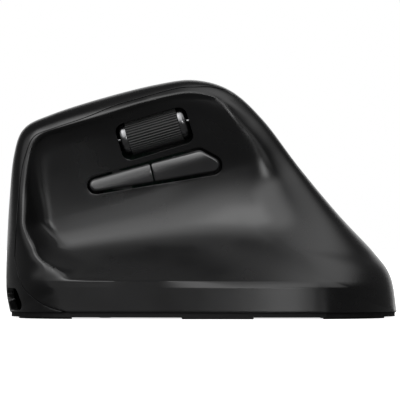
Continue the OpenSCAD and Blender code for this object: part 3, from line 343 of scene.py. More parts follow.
def moulding(points, tris, wall, lip, steps=4):
    """A wall of that thickness under a skin, its free edges rolled over by the lip's radius.

    Edges that face the thumb side run level into the body, the way the mould draws.
    """
    n = normals_of(points, tris)
    directed = np.vstack([tris[:, :2], tris[:, 1:], tris[:, [2, 0]]])
    codes = directed[:, 0].astype(np.int64) * len(points) + directed[:, 1]
    back = directed[:, 1].astype(np.int64) * len(points) + directed[:, 0]
    rim = directed[~np.isin(codes, back)]
    after = dict(rim.tolist())
    before = {b: a for a, b in after.items()}
    rim_points = np.array([v for v in after if v in before])
    run = points[[after[v] for v in rim_points]] - points[[before[v] for v in rim_points]]
    out = np.cross(run, n[rim_points])
    out /= np.maximum(1e-12, np.linalg.norm(out, axis=1))[:, None]
    place = {v: i for i, v in enumerate(rim_points.tolist())}
    rows = []
    for k in range(1, steps + 1):
        a = math.pi / 2 * k / steps
        rows.append(points[rim_points] + lip * math.sin(a) * out - lip * (1 - math.cos(a)) * n[rim_points])
    inner = points - wall * n
    drawn = n[rim_points] * (1, 1, 0)
    sideways = clamp01((-n[rim_points, 1:2] - draw_start) / draw_range)
    drawn = n[rim_points] + sideways * (drawn - n[rim_points])
    drawn /= np.linalg.norm(drawn, axis=1)[:, None]
    inner[rim_points] = points[rim_points] - wall * drawn + lip * out
    everything = np.vstack([points] + rows + [inner])
    base = len(points)
    count = len(rim_points)
    faces = [tris, tris[:, ::-1] + base + steps * count]
    levels = [rim_points] + [base + k * count + np.arange(count) for k in range(steps)]
    levels.append(rim_points + base + steps * count)
    a = np.array([place[i] for i, j in rim.tolist() if i in place and j in place])
    b = np.array([place[j] for i, j in rim.tolist() if i in place and j in place])
    for high, low in zip(levels, levels[1:]):
        faces.append(np.stack([high[a], low[a], low[b]], 1))
        faces.append(np.stack([high[a], low[b], high[b]], 1))
    from_rim = distance_to(points, points[rim_points])
    edge_mm = np.concatenate([from_rim, np.zeros(steps * count), np.full(base, unworn_mm)])
    return everything, np.vstack(faces), edge_mm


def distance_to(points, rim):
    """Distance from each point to the nearest of the rim's points."""
    tree = KDTree(len(rim))
    for i, p in enumerate(rim):
        tree.insert(p, i)
    tree.balance()
    return np.array([tree.find(p)[2] for p in points])


def rides(obj, body, node):
    """Fixes a finished piece to its body, in place of its CAD node."""
    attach(obj, body)
    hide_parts(node)


def piece(name, points, tris, body, node, material, edge_mm=None):
    """A finished piece from points in millimetres, riding on its body in place of its CAD node."""
    mesh = bpy.data.meshes.new(name)
    mesh.from_pydata((np.asarray(points) / 1000).tolist(), [], np.asarray(tris).tolist())
    mesh.polygons.foreach_set("use_smooth", np.ones(len(mesh.polygons), bool))
    mesh.set_sharp_from_angle(angle=math.radians(50))
    if edge_mm is not None:
        mesh.attributes.new("edge_mm", "FLOAT", "POINT").data.foreach_set("value", edge_mm)
    mesh.materials.append(material)
    obj = bpy.data.objects.new(name, mesh)
    scene.collection.objects.link(obj)
    rides(obj, body, node)


def fill(tree, node, inputs):
    """Sets a node's inputs, each to a plain value or by a link from another node's socket."""
    for label, value in inputs.items():
        if isinstance(value, bpy.types.NodeSocket):
            tree.links.new(value, node.inputs[label])
        else:
            node.inputs[label].default_value = value


def add_node(tree, kind, inputs=None, **settings):
    """A new node with its settings made and its inputs filled."""
    node = tree.nodes.new(kind)
    for label, value in settings.items():
        setattr(node, label, value)
    fill(tree, node, inputs or {})
    return node


def object_place(tree):
    return add_node(tree, "ShaderNodeTexCoord").outputs["Object"]


def noise(tree, coordinates, size_mm, detail=2.0, rough=0.5):
    """A noise whose blobs are about that many millimetres across."""
    return add_node(tree, "ShaderNodeTexNoise", {
        "Scale": 1000 / size_mm, "Detail": detail, "Roughness": rough, "Vector": coordinates}).outputs["Fac"]


def spread(tree, value, low, high, to_low, to_high):
    """A value stretched from one range to another, held at the ends."""
    ends = {"From Min": low, "From Max": high, "To Min": to_low, "To Max": to_high}
    return add_node(tree, "ShaderNodeMapRange", {**ends, "Value": value}).outputs["Result"]


def math_of(tree, first, second, operation="ADD"):
    """The result of a Math node on two values, each a number or a socket."""
    return add_node(tree, "ShaderNodeMath", {0: first, 1: second}, operation=operation).outputs[0]


def two_tones(tree, share, dark, light):
    """A colour between two, by a share from 0 to 1."""
    tones = {"A": (*dark, 1), "B": (*light, 1), "Factor": share}
    return add_node(tree, "ShaderNodeMix", tones, data_type="RGBA").outputs["Result"]


def new_material(name):
    """An empty material, its tree and its shader."""
    material = bpy.data.materials.new(name)
    material.use_nodes = True
    return material, material.node_tree, material.node_tree.nodes["Principled BSDF"]


# Spark-eroded mould grain: a fine pebbled height, and broad patches where handling has changed the sheen.
grain_group = bpy.data.node_groups.new("mould_grain", "ShaderNodeTree")
grain_group.interface.new_socket("Fineness", in_out="INPUT", socket_type="NodeSocketFloat").default_value = 1
for label in ("Height", "Handling", "Specks"):
    grain_group.interface.new_socket(label, in_out="OUTPUT", socket_type="NodeSocketFloat")
grain_in = grain_group.nodes.new("NodeGroupInput")
grain_place = object_place(grain_group)
grain_scale = add_node(grain_group, "ShaderNodeVectorMath", {
    0: grain_place, "Scale": grain_in.outputs["Fineness"]}, operation="SCALE")
pebble_mm = 0.32
pebbles = add_node(grain_group, "ShaderNodeTexVoronoi", {
    "Scale": 1000 / pebble_mm, "Vector": grain_scale.outputs[0]}, feature="SMOOTH_F1")
fine_pits = noise(grain_group, grain_scale.outputs[0], 0.18, 3.0, 0.6)
smears = noise(grain_group, grain_place, 17.0, 3.0, 0.6)
specks = noise(grain_group, grain_place, 0.9, 1.0)
pebble_height = math_of(grain_group, pebbles.outputs["Distance"], 0.6, "MULTIPLY")
add_node(grain_group, "NodeGroupOutput", {
    "Height": math_of(grain_group, pebble_height, fine_pits),
    "Handling": spread(grain_group, smears, 0.35, 0.65, 0.0, 1.0),
    "Specks": spread(grain_group, specks, 0.66, 0.76, 0.0, 1.0)})


def moulded_plastic(name, dark, light, rough, fineness=1.0, depth_mm=0.012, edges=True, specular=0.5):
    """Moulded plastic: two close tones by handling, grain, a little dust, and edges rubbed smoother."""
    material, tree, shader = new_material(name)
    grain = add_node(tree, "ShaderNodeGroup", {"Fineness": fineness}, node_tree=grain_group)
    share = math_of(tree, grain.outputs["Handling"], 0.55, "MULTIPLY")
    share = math_of(tree, share, math_of(tree, grain.outputs["Specks"], 0.35, "MULTIPLY"))
    sheen = spread(tree, grain.outputs["Handling"], 0, 1, rough[0], rough[1])
    if edges:
        rub = add_node(tree, "ShaderNodeAttribute", attribute_name="edge_mm")
        worn = spread(tree, rub.outputs["Fac"], 0.0, 0.9, 1.0, 0.0)
        share = math_of(tree, share, math_of(tree, worn, 0.4, "MULTIPLY"))
        sheen = math_of(tree, sheen, math_of(tree, worn, 0.07, "MULTIPLY"), "SUBTRACT")
    bump = add_node(tree, "ShaderNodeBump", {
        "Strength": 0.5, "Distance": depth_mm / 1000, "Height": grain.outputs["Height"]})
    fill(tree, shader, {
        "Specular IOR Level": specular, "Base Color": two_tones(tree, share, dark, light),
        "Roughness": sheen, "Normal": bump.outputs["Normal"]})
    return material


satin_black = moulded_plastic("satin_black", (0.004, 0.004, 0.0042), (0.006, 0.006, 0.0063), (0.22, 0.28))
over_nose = (outline[:, 1] > nose_seam_top) | (outline[:, 0] > 0)
upper = outline[over_nose]
inset = station(turn(upper[:, 0], upper[:, 1]), seam_stations)
seam_line = upper - inset[:, None] * outline_normals[over_nose]
nose_line = smooth_curve(np.vstack([[(front_x + x, shell_z + z) for x, z in nose_seam], seam_line[:1]]), 6)
seam_outline = np.vstack([(front_x + nose_seam[0][0] + 6, -5), nose_line, seam_line[1:], (rear_x + 5, -5)])


def inside(x, z, polygon):
    """Distance inside a closed outline, negative outside it."""
    a = polygon
    b = np.roll(polygon, -1, axis=0)
    nearest = np.full(len(x), 1e9)
    crossings = np.zeros(len(x), int)
    for (ax, az), (bx, bz) in zip(a, b):
        dx = bx - ax
        dz = bz - az
        t = np.clip(((x - ax) * dx + (z - az) * dz) / max(1e-12, dx * dx + dz * dz), 0, 1)
        nearest = np.minimum(nearest, np.hypot(x - ax - t * dx, z - az - t * dz))
        if az != bz:
            crossings += ((az > z) != (bz > z)) & (x < ax + (z - az) / dz * dx)
    return np.where(crossings % 2 == 1, nearest, -nearest)


def seam_y(z):
    return spine(z) - 4 * ease(8, 62, z)


def from_seam(p):
    """Distance from the seam between the shells, over zero on the thumb shell's side."""
    return np.minimum(inside(p[:, 0], p[:, 2], seam_outline), seam_y(p[:, 2]) - p[:, 1])


def slot_gap(u, v, length, width, radius):
    """Distance outside a slot with rounded corners."""
    a = np.abs(u) - length / 2 + radius
    b = np.abs(v) - width / 2 + radius
    return np.hypot(np.maximum(a, 0), np.maximum(b, 0)) + np.minimum(np.maximum(a, b), 0) - radius


roller_mid = np.array((front_x + 45.6, 56.5))
roller_d = 11.2
roller_length = 19.6
roller_slot_length = roller_length + 2.4
roller_slot_width = roller_d + 0.1
roller_slot_round = 2.4


def on_thumb(p):
    return np.array((p[0], float(thumb(p[0], p[1])), p[1]))


def unit(v):
    return v / np.linalg.norm(v)


roller_at = on_thumb(roller_mid)
roller_joint = next(j for j in frame["joints"] if j["name"] == "roller_spin")
roller_axis = unit(np.array(roller_joint["axis"]))
roller_centre = np.array(roller_joint["pos_m"]) * 1000
roller_out = roller_at - roller_centre
roller_out = unit(roller_out - (roller_out @ roller_axis) * roller_axis)
roller_across = np.cross(roller_out, roller_axis)
side_front = np.array((front_x + 27.8, 40.7))
side_front_r = 2.5
side_rear = np.array((front_x + 59.2, 49.1))
side_rear_r = 2.9
side_low = side_rear + (4, -2.2)


def round_hull(circles, count=160):
    """The outline drawn tight round circles given as centre and radius."""
    points = []
    for a in np.linspace(0, 2 * math.pi, count, endpoint=False):
        way = np.array((math.cos(a), math.sin(a)))
        far = max(circles, key=lambda c: c[0] @ way + c[1])
        points.append(far[0] + far[1] * way)
    return np.array(points)


side_slot = round_hull([(side_front, side_front_r), (side_rear, side_rear_r), (side_low, side_rear_r)])
seam_lip = 0.05
seam_reach = 0.08
slot_lip = 0.3


def roller_slot(p):
    q = p - roller_at
    return slot_gap(q @ roller_axis, q @ roller_across, roller_slot_length, roller_slot_width,
                    roller_slot_round) - slot_lip


skin = trim(thumb_points, thumb_tris, lambda p: from_seam(p) + seam_reach - seam_lip)
skin = trim(*skin, roller_slot)
skin = trim(*skin, lambda p: -inside(p[:, 0], p[:, 2], side_slot) - slot_lip)
skin = trim(*skin, lambda p: p[:, 2] - shell_z - seam_lip)
points, tris, edge_mm = moulding(*skin, shell_wall, seam_lip)
piece("thumb_shell_skin", points, tris, "housing", "thumb_shell", satin_black, edge_mm)

# The main shell: the ridge, the finger side and the nose, moulded in one with openings for the
# main buttons, the wheel, the resolution key and the charging plug. Screwed down from below.
finger_x = front_x + 26
finger_z = 46.0
finger_at = np.array((finger_x, float(finger(finger_x, finger_z)), finger_z))
finger_slope = float(finger(finger_x, finger_z + 1) - finger(finger_x, finger_z - 1)) / 2
finger_lift = math.atan(-finger_slope)
finger_yaw = math.radians(8)
tilt = finger_lift - math.pi / 2
turn_y = np.array(((math.cos(finger_yaw), 0, -math.sin(finger_yaw)), (0, 1, 0),
                   (math.sin(finger_yaw), 0, math.cos(finger_yaw))))
turn_x = np.array(((1, 0, 0), (0, math.cos(tilt), -math.sin(tilt)), (0, math.sin(tilt), math.cos(tilt))))
finger_frame = turn_x @ turn_y


def join(*skins):
    """Several skins as one, with points that coincide made one point."""
    points = np.vstack([p for p, t in skins])
    starts = np.cumsum([0] + [len(p) for p, t in skins])
    tris = np.vstack([t + s for (p, t), s in zip(skins, starts)])
    _, first, where = np.unique(np.round(points, 5), axis=0, return_index=True, return_inverse=True)
    tris = where.reshape(-1)[tris]
    whole = (tris[:, 0] != tris[:, 1]) & (tris[:, 1] != tris[:, 2]) & (tris[:, 2] != tris[:, 0])
    return points[first], tris[whole]


def at_fingers(p):
    """Points in the main buttons' own frame: back along them, down across them, and outwards."""
    return (p - finger_at) @ finger_frame


def shrunk(polygon, by):
    """A convex outline moved in by that much."""
    middle_point = polygon.mean(0)
    lines = []
    for a, b in zip(polygon, np.roll(polygon, -1, axis=0)):
        n = unit(np.array((a[1] - b[1], b[0] - a[0])))
        if n @ (middle_point - a) < 0:
            n = -n
        lines.append((n, n @ a + by))
    return np.array([np.linalg.solve(np.array((m[0], n[0])), np.array((m[1], n[1])))
                     for m, n in zip([lines[-1]] + lines[:-1], lines)])


strip_half = 4.8
button_front = -22.5
button_rear = 27.0
left_outline = np.array([
    (button_front, -strip_half), (button_front, -9), (button_front + 3.5, -12.5), (0, -16),
    (button_rear - 3, -19), (button_rear, -strip_half)])
right_outline = np.array([
    (button_front, strip_half), (button_rear, strip_half), (button_rear - 5, 18),
    (button_front + 3.5, 17.5), (button_front, 14)])
button_corner = 1.5
cap_low = -6.8
opening_low = cap_low - 1.6
wheel_d = 22.0
wheel_w = 7.0
wheel_at = np.array((-4.0, 0, 3.4 - wheel_d / 2))
wheel_slot = (22.0, wheel_w + 1.4, 3.0)
resolution_x = wheel_at[0] + wheel_d / 2 + 7.8
resolution_l = 9.0
resolution_w = 4.6
port_y = -3.0
port_z = 5.9
port_recess_w = 19.0
port_recess_h = 6.8
port_recess_round = 2.6
port_recess_depth = 10.0
port_recess_y = port_y + 5.8 - port_recess_w / 2
button_lip = 0.22


def in_cap(q, polygon):
    """Distance inside a main button's outline."""
    return inside(q[:, 0], q[:, 1], shrunk(polygon, button_corner)) + button_corner


def finger_openings(p):
    q = at_fingers(p)
    gap = np.minimum(-in_cap(q, left_outline), -in_cap(q, right_outline)) - part_gap
    gap = np.minimum(gap, slot_gap(q[:, 0] - wheel_at[0], q[:, 1], *wheel_slot))
    gap = np.minimum(gap, slot_gap(q[:, 0] - resolution_x, q[:, 1], resolution_l + 2 * part_gap,
                                   resolution_w + 2 * part_gap, resolution_w / 2))
    return np.maximum(gap, opening_low - q[:, 2]) - button_lip


def port_opening(p):
    gap = slot_gap(p[:, 1] - port_recess_y, p[:, 2] - port_z, port_recess_w, port_recess_h, port_recess_round)
    return np.maximum(gap, p[:, 0] - front_x - port_recess_depth) - seam_lip


finger_skin = trim(finger_points, finger_tris, finger_openings)
thumb_band = trim(thumb_points, thumb_tris, lambda p: -from_seam(p) - part_gap + seam_reach - seam_lip)
skin = join(finger_skin, thumb_band)
skin = trim(*skin, port_opening)
skin = trim(*skin, lambda p: p[:, 2] - shell_z - seam_lip)
points, tris, edge_mm = moulding(*skin, shell_wall, seam_lip)
piece("main_shell_skin", points, tris, "housing", "main_shell", satin_black, edge_mm)

# The two main buttons: thin caps cut from the same skin, each carried by a lever inside the body
# that turns on a steel pin behind it. Satin black like the shell around them.
cap_wall = 1.0
for side, outline_points in (("left", left_outline), ("right", right_outline)):
    def cap_field(p):
        q = at_fingers(p)
        return np.minimum(in_cap(q, outline_points), q[:, 2] - cap_low) - button_lip

    points, tris, edge_mm = moulding(*trim(finger_points, finger_tris, cap_field), cap_wall, button_lip)
    piece(side + "_button_cap", points, tris, side + "_main_button", side + "_button",
          satin_black, edge_mm)

# The two thumb keys: smooth half-gloss caps side by side in one slot, each held from behind by a
# flange and pressed straight in. Their upper edge is broadly rounded, the lower edge sharply.
side_split = np.array((front_x + 45, 40.7 + 3.85))
side_lean = math.radians(13)
side_half = 3.1
side_corner = 0.7
side_rise = 1.4
rear_rise = 0.7
key_lip = 0.22
key_top_round = 4.4
key_edge_round = 1.0
key_wall = 2.2
key_grid = 0.16
key_black = moulded_plastic("key_black", (0.012, 0.012, 0.0125), (0.017, 0.017, 0.0177), (0.2, 0.26),
                            1.4, 0.004, True, 0.9)


def leaning(u, v):
    c = math.cos(side_lean)
    s = math.sin(side_lean)
    return side_split + (u * c - v * s, u * s + v * c)


key_circles = [(side_front, side_front_r - part_gap), (side_rear, side_rear_r - part_gap),
               (side_low, side_rear_r - part_gap)]
both_keys = round_hull(key_circles, 240)
key_run = side_rear - side_front
key_taper = math.asin((side_rear_r - side_front_r) / np.linalg.norm(key_run))
key_up = (math.cos(key_taper) * unit(np.array((-key_run[1], key_run[0])))
          - math.sin(key_taper) * unit(key_run))


def key_skin(way):
    """The crowned face of a thumb key, part of one crown over both keys."""
    circles = [(leaning(way * (part_gap / 2 + side_corner), s * (side_half - side_corner)), side_corner)
               for s in (-1, 1)]
    if way < 0:
        circles.append((side_front, side_front_r - part_gap))
    else:
        circles += [(side_rear, side_rear_r - part_gap), (side_low, side_rear_r - part_gap)]
    around = round_hull(circles, 240)
    low = around.min(0) - 0.4
    high = around.max(0) + 0.4
    count = np.ceil((high - low) / key_grid).astype(int)
    x, z = np.meshgrid(np.linspace(low[0], high[0], count[0]), np.linspace(low[1], high[1], count[1]),
                       indexing="ij")
    x = x.ravel()
    z = z.ravel()
    under_top = key_up @ side_front + side_front_r - part_gap - x * key_up[0] - z * key_up[1]
    rise = side_rise + rear_rise * ease(side_split[0], side_low[0], x)
    crown = rise * dome(under_top / key_top_round) * dome(inside(x, z, both_keys) / key_edge_round)
    points = np.stack([x, thumb(x, z) - crown, z], 1)
    tris = grid_tris(*count, False, False)
    return trim(points, tris, lambda p: inside(p[:, 0], p[:, 2], around) - key_lip)


for name, way in (("forward", -1), ("back", 1)):
    points, tris, edge_mm = moulding(*key_skin(way), key_wall, key_lip)
    piece(name + "_key_cap", points, tris, name + "_key", name + "_button", key_black, edge_mm)

# The thumb roller: a ribbed rubber sleeve between two plated end rings, all on one steel axle that
# turns in the cradle behind the slot. The ribs have broad round tops with narrow grooves between.
ring_thickness = 1.7
sleeve_length = roller_length - 2 * ring_thickness
ring_height = 2.4
ring_round = 1.3
axle_hole = 1.0
rib_height = 0.42


def geometry_tree(name, inputs):
    """An empty Geometry Nodes tree with named inputs, and its input sockets."""
    tree = bpy.data.node_groups.new(name, "GeometryNodeTree")
    for label, kind in inputs:
        tree.interface.new_socket(label, in_out="INPUT", socket_type="NodeSocket" + kind)
    tree.interface.new_socket("Geometry", in_out="OUTPUT", socket_type="NodeSocketGeometry")
    return tree, tree.nodes.new("NodeGroupInput").outputs


def coated(tree, given, geometry):
    """Ends a tree: the instances made real, and the given material on them."""
    solid = add_node(tree, "GeometryNodeRealizeInstances", {0: geometry})
    coat = add_node(tree, "GeometryNodeSetMaterial", {
        "Geometry": solid.outputs[0], "Material": given["Material"]})
    add_node(tree, "NodeGroupOutput", {0: coat.outputs["Geometry"]})
    return tree


def joined(tree, *geometries):
    both = add_node(tree, "GeometryNodeJoinGeometry")
    for geometry in geometries:
        tree.links.new(geometry, both.inputs[0])
    return both.outputs[0]


def ribbed_sleeve_tree():
    """Round bars laid along a drum, the drum's axis along Z."""
    tree, given = geometry_tree("ribbed_sleeve", (
        ("Count", "Int"), ("Core Radius", "Float"), ("Length", "Float"), ("Rib Width", "Float"),
        ("Rib Height", "Float"), ("Material", "Material")))
    drum = add_node(tree, "GeometryNodeMeshCylinder", {
        "Vertices": 128, "Radius": given["Core Radius"], "Depth": given["Length"]})
    bar = add_node(tree, "GeometryNodeMeshCylinder", {"Vertices": 20, "Radius": 1, "Depth": given["Length"]})
    section = add_node(tree, "ShaderNodeCombineXYZ", {
        "X": given["Rib Height"], "Y": math_of(tree, given["Rib Width"], 0.5, "MULTIPLY"), "Z": 1})
    rib = add_node(tree, "GeometryNodeTransform", {
        "Geometry": bar.outputs["Mesh"], "Scale": section.outputs[0]})
    places = add_node(tree, "GeometryNodeMeshCircle", {
        "Vertices": given["Count"], "Radius": given["Core Radius"]})
    position = add_node(tree, "GeometryNodeInputPosition")
    outward = add_node(tree, "FunctionNodeAlignRotationToVector", {"Vector": position.outputs[0]},
                       axis="X", pivot_axis="Z")
    ribs = add_node(tree, "GeometryNodeInstanceOnPoints", {
        "Points": places.outputs["Mesh"], "Instance": rib.outputs["Geometry"],
        "Rotation": outward.outputs["Rotation"]})
    return coated(tree, given, joined(tree, drum.outputs["Mesh"], ribs.outputs["Instances"]))


def grown(name, tree, values, start=None):
    """A piece's mesh made by a Geometry Nodes tree, from the start mesh if it needs one."""
    obj = bpy.data.objects.new(name, start or bpy.data.meshes.new(name))
    scene.collection.objects.link(obj)
    modifier = obj.modifiers.new(tree.name, "NODES")
    modifier.node_group = tree
    for socket in tree.interface.items_tree:
        if socket.in_out == "INPUT" and socket.name in values:
            modifier[socket.identifier] = values[socket.name]
    made = bpy.data.meshes.new_from_object(obj.evaluated_get(bpy.context.evaluated_depsgraph_get()))
    obj.modifiers.clear()
    obj.data = made
    made.name = name
    made.polygons.foreach_set("use_smooth", np.ones(len(made.polygons), bool))
    made.set_sharp_from_angle(angle=math.radians(40))
    return obj


def placed(obj, centre_mm, axis, out):
    """Stands a mesh that was built along Z at a centre, along an axis, with its X towards out."""
    across = np.cross(axis, out)
    grid = np.eye(4)
    grid[:3, 0] = out
    grid[:3, 1] = across
    grid[:3, 2] = axis
    grid[:3, 3] = np.asarray(centre_mm) / 1000
    obj.data.transform(Matrix(grid.tolist()))


def lathe(profile, count=96):
    """Points and triangles of a closed (radius, height) profile turned round Z."""
    profile = np.array(profile)
    turns = np.linspace(0, 2 * math.pi, count, endpoint=False)
    points = np.stack([np.outer(np.cos(turns), profile[:, 0]), np.outer(np.sin(turns), profile[:, 0]),
                       np.tile(profile[:, 1], (count, 1))], 2).reshape(-1, 3)
    return points, grid_tris(count, len(profile), True, True)


def arc(middle, radius, start, stop, steps=7):
    """Points on an arc of a profile, between two angles in degrees."""
    turns = np.radians(np.linspace(start, stop, steps))
    return [(middle[0] + radius * math.cos(a), middle[1] + radius * math.sin(a)) for a in turns]


def steel(name, colour, rough, stretch):
    """Bare or plated steel, with fine drawn lines along one direction and a few dull spots."""
    material, tree, shader = new_material(name)
    place = object_place(tree)
    drawn = add_node(tree, "ShaderNodeMapping", {"Scale": stretch, "Vector": place})
    lines = noise(tree, drawn.outputs[0], 0.2, 3.0)
    clean = spread(tree, noise(tree, place, 1.4, 2.0), 0.3, 0.6, 0.0, 1.0)
    fill(tree, shader, {
        "Metallic": 1, "Base Color": two_tones(tree, clean, [c * 0.72 for c in colour], colour),
        "Roughness": spread(tree, lines, 0.2, 0.8, rough - 0.08, rough + 0.1)})
    return material


grip_rubber = moulded_plastic("grip_rubber", (0.012, 0.012, 0.012), (0.02, 0.02, 0.02), (0.42, 0.52),
                              0.8, 0.01, False)
ring_chrome = steel("ring_chrome", (0.2, 0.2, 0.205), 0.2, (1, 1, 1))
sleeve_tree = ribbed_sleeve_tree()
sleeve = grown("roller_rubber", sleeve_tree, {
    "Count": 40, "Core Radius": (roller_d / 2 - rib_height) / 1000, "Length": sleeve_length / 1000,
    "Rib Width": 0.70 / 1000, "Rib Height": rib_height / 1000, "Material": grip_rubber})
placed(sleeve, roller_centre, roller_axis, roller_out)
rides(sleeve, "thumb_roller", "roller_sleeve")

ring_points = []
ring_tris = []
for side in (-1, 1):
    r = roller_d / 2 - 0.1
    profile = [(axle_hole, 0)] + arc((r - 0.3, 0.3), 0.3, -90, 0, 5)
    profile += arc((r - ring_round, ring_height - ring_round), ring_round, 0, 90, 12)
    profile += [(axle_hole, ring_height)]
    points, tris = lathe(profile)
    points[:, 2] = side * (sleeve_length / 2 + points[:, 2])
    ring_tris.append((tris if side > 0 else tris[:, ::-1]) + len(ring_points) * len(points))
    ring_points.append(points)
turned = np.vstack(ring_points) @ np.array((roller_out, np.cross(roller_axis, roller_out), roller_axis))
piece("roller_end_rings", turned + roller_centre, np.vstack(ring_tris), "thumb_roller", "roller_rings",
      ring_chrome)

# The scroll wheel: a ribbed rubber tyre on a plastic hub with a steel axle, held in a carrier that
# tips about a pin, so that a press on the wheel works the switch behind it.
wheel_centre = finger_at + finger_frame @ wheel_at
tyre_rib_height = 0.6
tyre = grown("wheel_rubber", sleeve_tree, {
    "Count": 36, "Core Radius": (wheel_d / 2 - tyre_rib_height) / 1000, "Length": wheel_w / 1000,
    "Rib Width": 1.3 / 1000, "Rib Height": tyre_rib_height / 1000, "Material": grip_rubber})
placed(tyre, wheel_centre, finger_frame[:, 1], finger_frame[:, 2])
rides(tyre, "scroll_wheel", "scroll_tyre")

# The resolution key: a small smooth pill behind the wheel, pressed straight down onto its switch.
count = 96
turns = np.linspace(0, 2 * math.pi, count, endpoint=False)
rings = [(0.0, -3.2)] + [(0.6 - 0.6 * math.cos(a), 0.2 + 0.6 * math.sin(a))
                         for a in np.radians((0, 18, 36, 54, 72, 90))] + [(1.4, 0.84), (2.2, 0.86)]
straight = (resolution_l - resolution_w) / 2
points = []
for inset, height in rings:
    r = resolution_w / 2 - inset
    points.append(np.stack([np.sign(np.cos(turns)) * straight + r * np.cos(turns), r * np.sin(turns),
                            np.full(count, height)], 1))
points = np.vstack(points)
fan = np.arange(1, count - 1)
last = (len(rings) - 1) * count
tris = np.vstack([grid_tris(len(rings), count, False, True)[:, ::-1],
                  np.stack([np.full(count - 2, last), last + fan, last + fan + 1], 1),
                  np.stack([np.zeros(count - 2, int), fan + 1, fan], 1)])
points[:, 0] += resolution_x
piece("resolution_key_cap", finger_at + points @ finger_frame.T, tris, "resolution_key", "resolution_button",
      key_black, distance_to(points, points[5 * count:6 * count]))

# The base: a plain black plate under both shells, held by five screws from below, with three slick
# feet let into it and windows for the sensor's lens and the power slider.
base_black = moulded_plastic("base_black", (0.004, 0.004, 0.0042), (0.007, 0.007, 0.0073), (0.55, 0.65),
                             0.7, 0.02, False, 0.2)
foot_slick = moulded_plastic("foot_slick", (0.016, 0.016, 0.0165), (0.022, 0.022, 0.0226), (0.4, 0.5),
                             2.0, 0.004, False, 0.25)


def finish_with(material, *names):
    """The real finish on CAD pieces that are shown as they are."""
    for name in names:
        mesh = frame["nodes"][name].data
        mesh.materials.clear()
        mesh.materials.append(material)


finish_with(base_black, "base_plate")
finish_with(foot_slick, "front_foot", "rear_foot", "side_foot")
screw_steel = steel("screw_steel", (0.52, 0.52, 0.53), 0.3, (1, 1, 1))


def cross_screw_tree():
    """A pan head with a cross recess and a plain shank at each point, heads down."""
    tree, given = geometry_tree("cross_screws", (
        ("Places", "Geometry"), ("Head Radius", "Float"), ("Head Height", "Float"),
        ("Shank Radius", "Float"), ("Shank Length", "Float"), ("Material", "Material")))

    def times(label, factor):
        return math_of(tree, given[label], factor, "MULTIPLY")

    def moved(geometry, height):
        place = add_node(tree, "ShaderNodeCombineXYZ", {"Z": height})
        return add_node(tree, "GeometryNodeTransform", {
            "Geometry": geometry, "Translation": place.outputs[0]}).outputs["Geometry"]

    head = add_node(tree, "GeometryNodeMeshCone", {
        "Vertices": 48, "Depth": given["Head Height"], "Radius Bottom": given["Head Radius"],
        "Radius Top": times("Head Radius", 0.84)})
    flip = add_node(tree, "GeometryNodeTransform", {
        "Rotation": (math.pi, 0, 0), "Geometry": head.outputs["Mesh"]})
    recess = add_node(tree, "GeometryNodeMeshBoolean", {"Mesh 1": flip.outputs["Geometry"]},
                      operation="DIFFERENCE")
    for long_way, short_way in ("XY", "YX"):
        size = add_node(tree, "ShaderNodeCombineXYZ", {
            long_way: times("Head Radius", 1.15), short_way: times("Head Radius", 0.3),
            "Z": given["Head Height"]})
        slit = add_node(tree, "GeometryNodeMeshCube", {"Size": size.outputs[0]})
        tree.links.new(moved(slit.outputs["Mesh"], times("Head Height", -1.0)), recess.inputs["Mesh 2"])
    shank = add_node(tree, "GeometryNodeMeshCylinder", {
        "Vertices": 24, "Radius": given["Shank Radius"], "Depth": given["Shank Length"]})
    screw = joined(tree, recess.outputs["Mesh"], moved(shank.outputs["Mesh"], times("Shank Length", 0.5)))
    each = add_node(tree, "GeometryNodeInstanceOnPoints", {"Points": given["Places"], "Instance": screw})
    return coated(tree, given, each.outputs["Instances"])


screw_spots = ((43.5, 8), (-36, 26.5), (38, -17), (-29.5, -6.15), (2, -6.15))
screw_z = 1.2
screw_places = bpy.data.meshes.new("screw_places")
screw_places.from_pydata([(x / 1000, y / 1000, screw_z / 1000) for x, y in screw_spots], [], [])
screws = grown("base_cross_screws", cross_screw_tree(), {
    "Head Radius": 0.002, "Head Height": 0.0011, "Shank Radius": 0.001, "Shank Length": 0.007,
    "Material": screw_steel}, screw_places)
rides(screws, "housing", "base_screws")

lens_clear, tree, shader = new_material("lens_clear")
place = object_place(tree)
fill(tree, shader, {
    "Transmission Weight": 1, "IOR": 1.52,
    "Roughness": spread(tree, noise(tree, place, 3.0), 0.3, 0.7, 0.02, 0.09),
    "Base Color": two_tones(tree, noise(tree, place, 5.0), (0.86, 0.88, 0.9), (0.95, 0.96, 0.97))})
finish_with(lens_clear, "sensor_lens")

# Inside the body: a plastic frame on the base carries two boards and the roller's cradle, the main board
# sits on the base, and a flat pouch battery lies under the thumb floor. Little of this shows.
pin_steel = steel("pin_steel", (0.62, 0.62, 0.63), 0.24, (1, 0.1, 1))
# Near-black steel: painted shade for the charging port deep in its recess and the hinge pin seen through the
# button gap.
steel_painted_shade = steel("steel_painted_shade", (0.03, 0.03, 0.031), 0.5, (0.15, 1, 1))
inner_black = moulded_plastic("inner_black", (0.006, 0.006, 0.0062), (0.01, 0.01, 0.0104), (0.5, 0.6),
                              0.7, 0.02, False, 0.2)
switch_black = moulded_plastic("switch_black", (0.016, 0.016, 0.017), (0.024, 0.024, 0.025), (0.4, 0.5),
                               1.0, 0.01, False)
pale_plastic = moulded_plastic("pale_plastic", (0.56, 0.53, 0.46), (0.64, 0.61, 0.54), (0.38, 0.48),
                               1.0, 0.01, False)


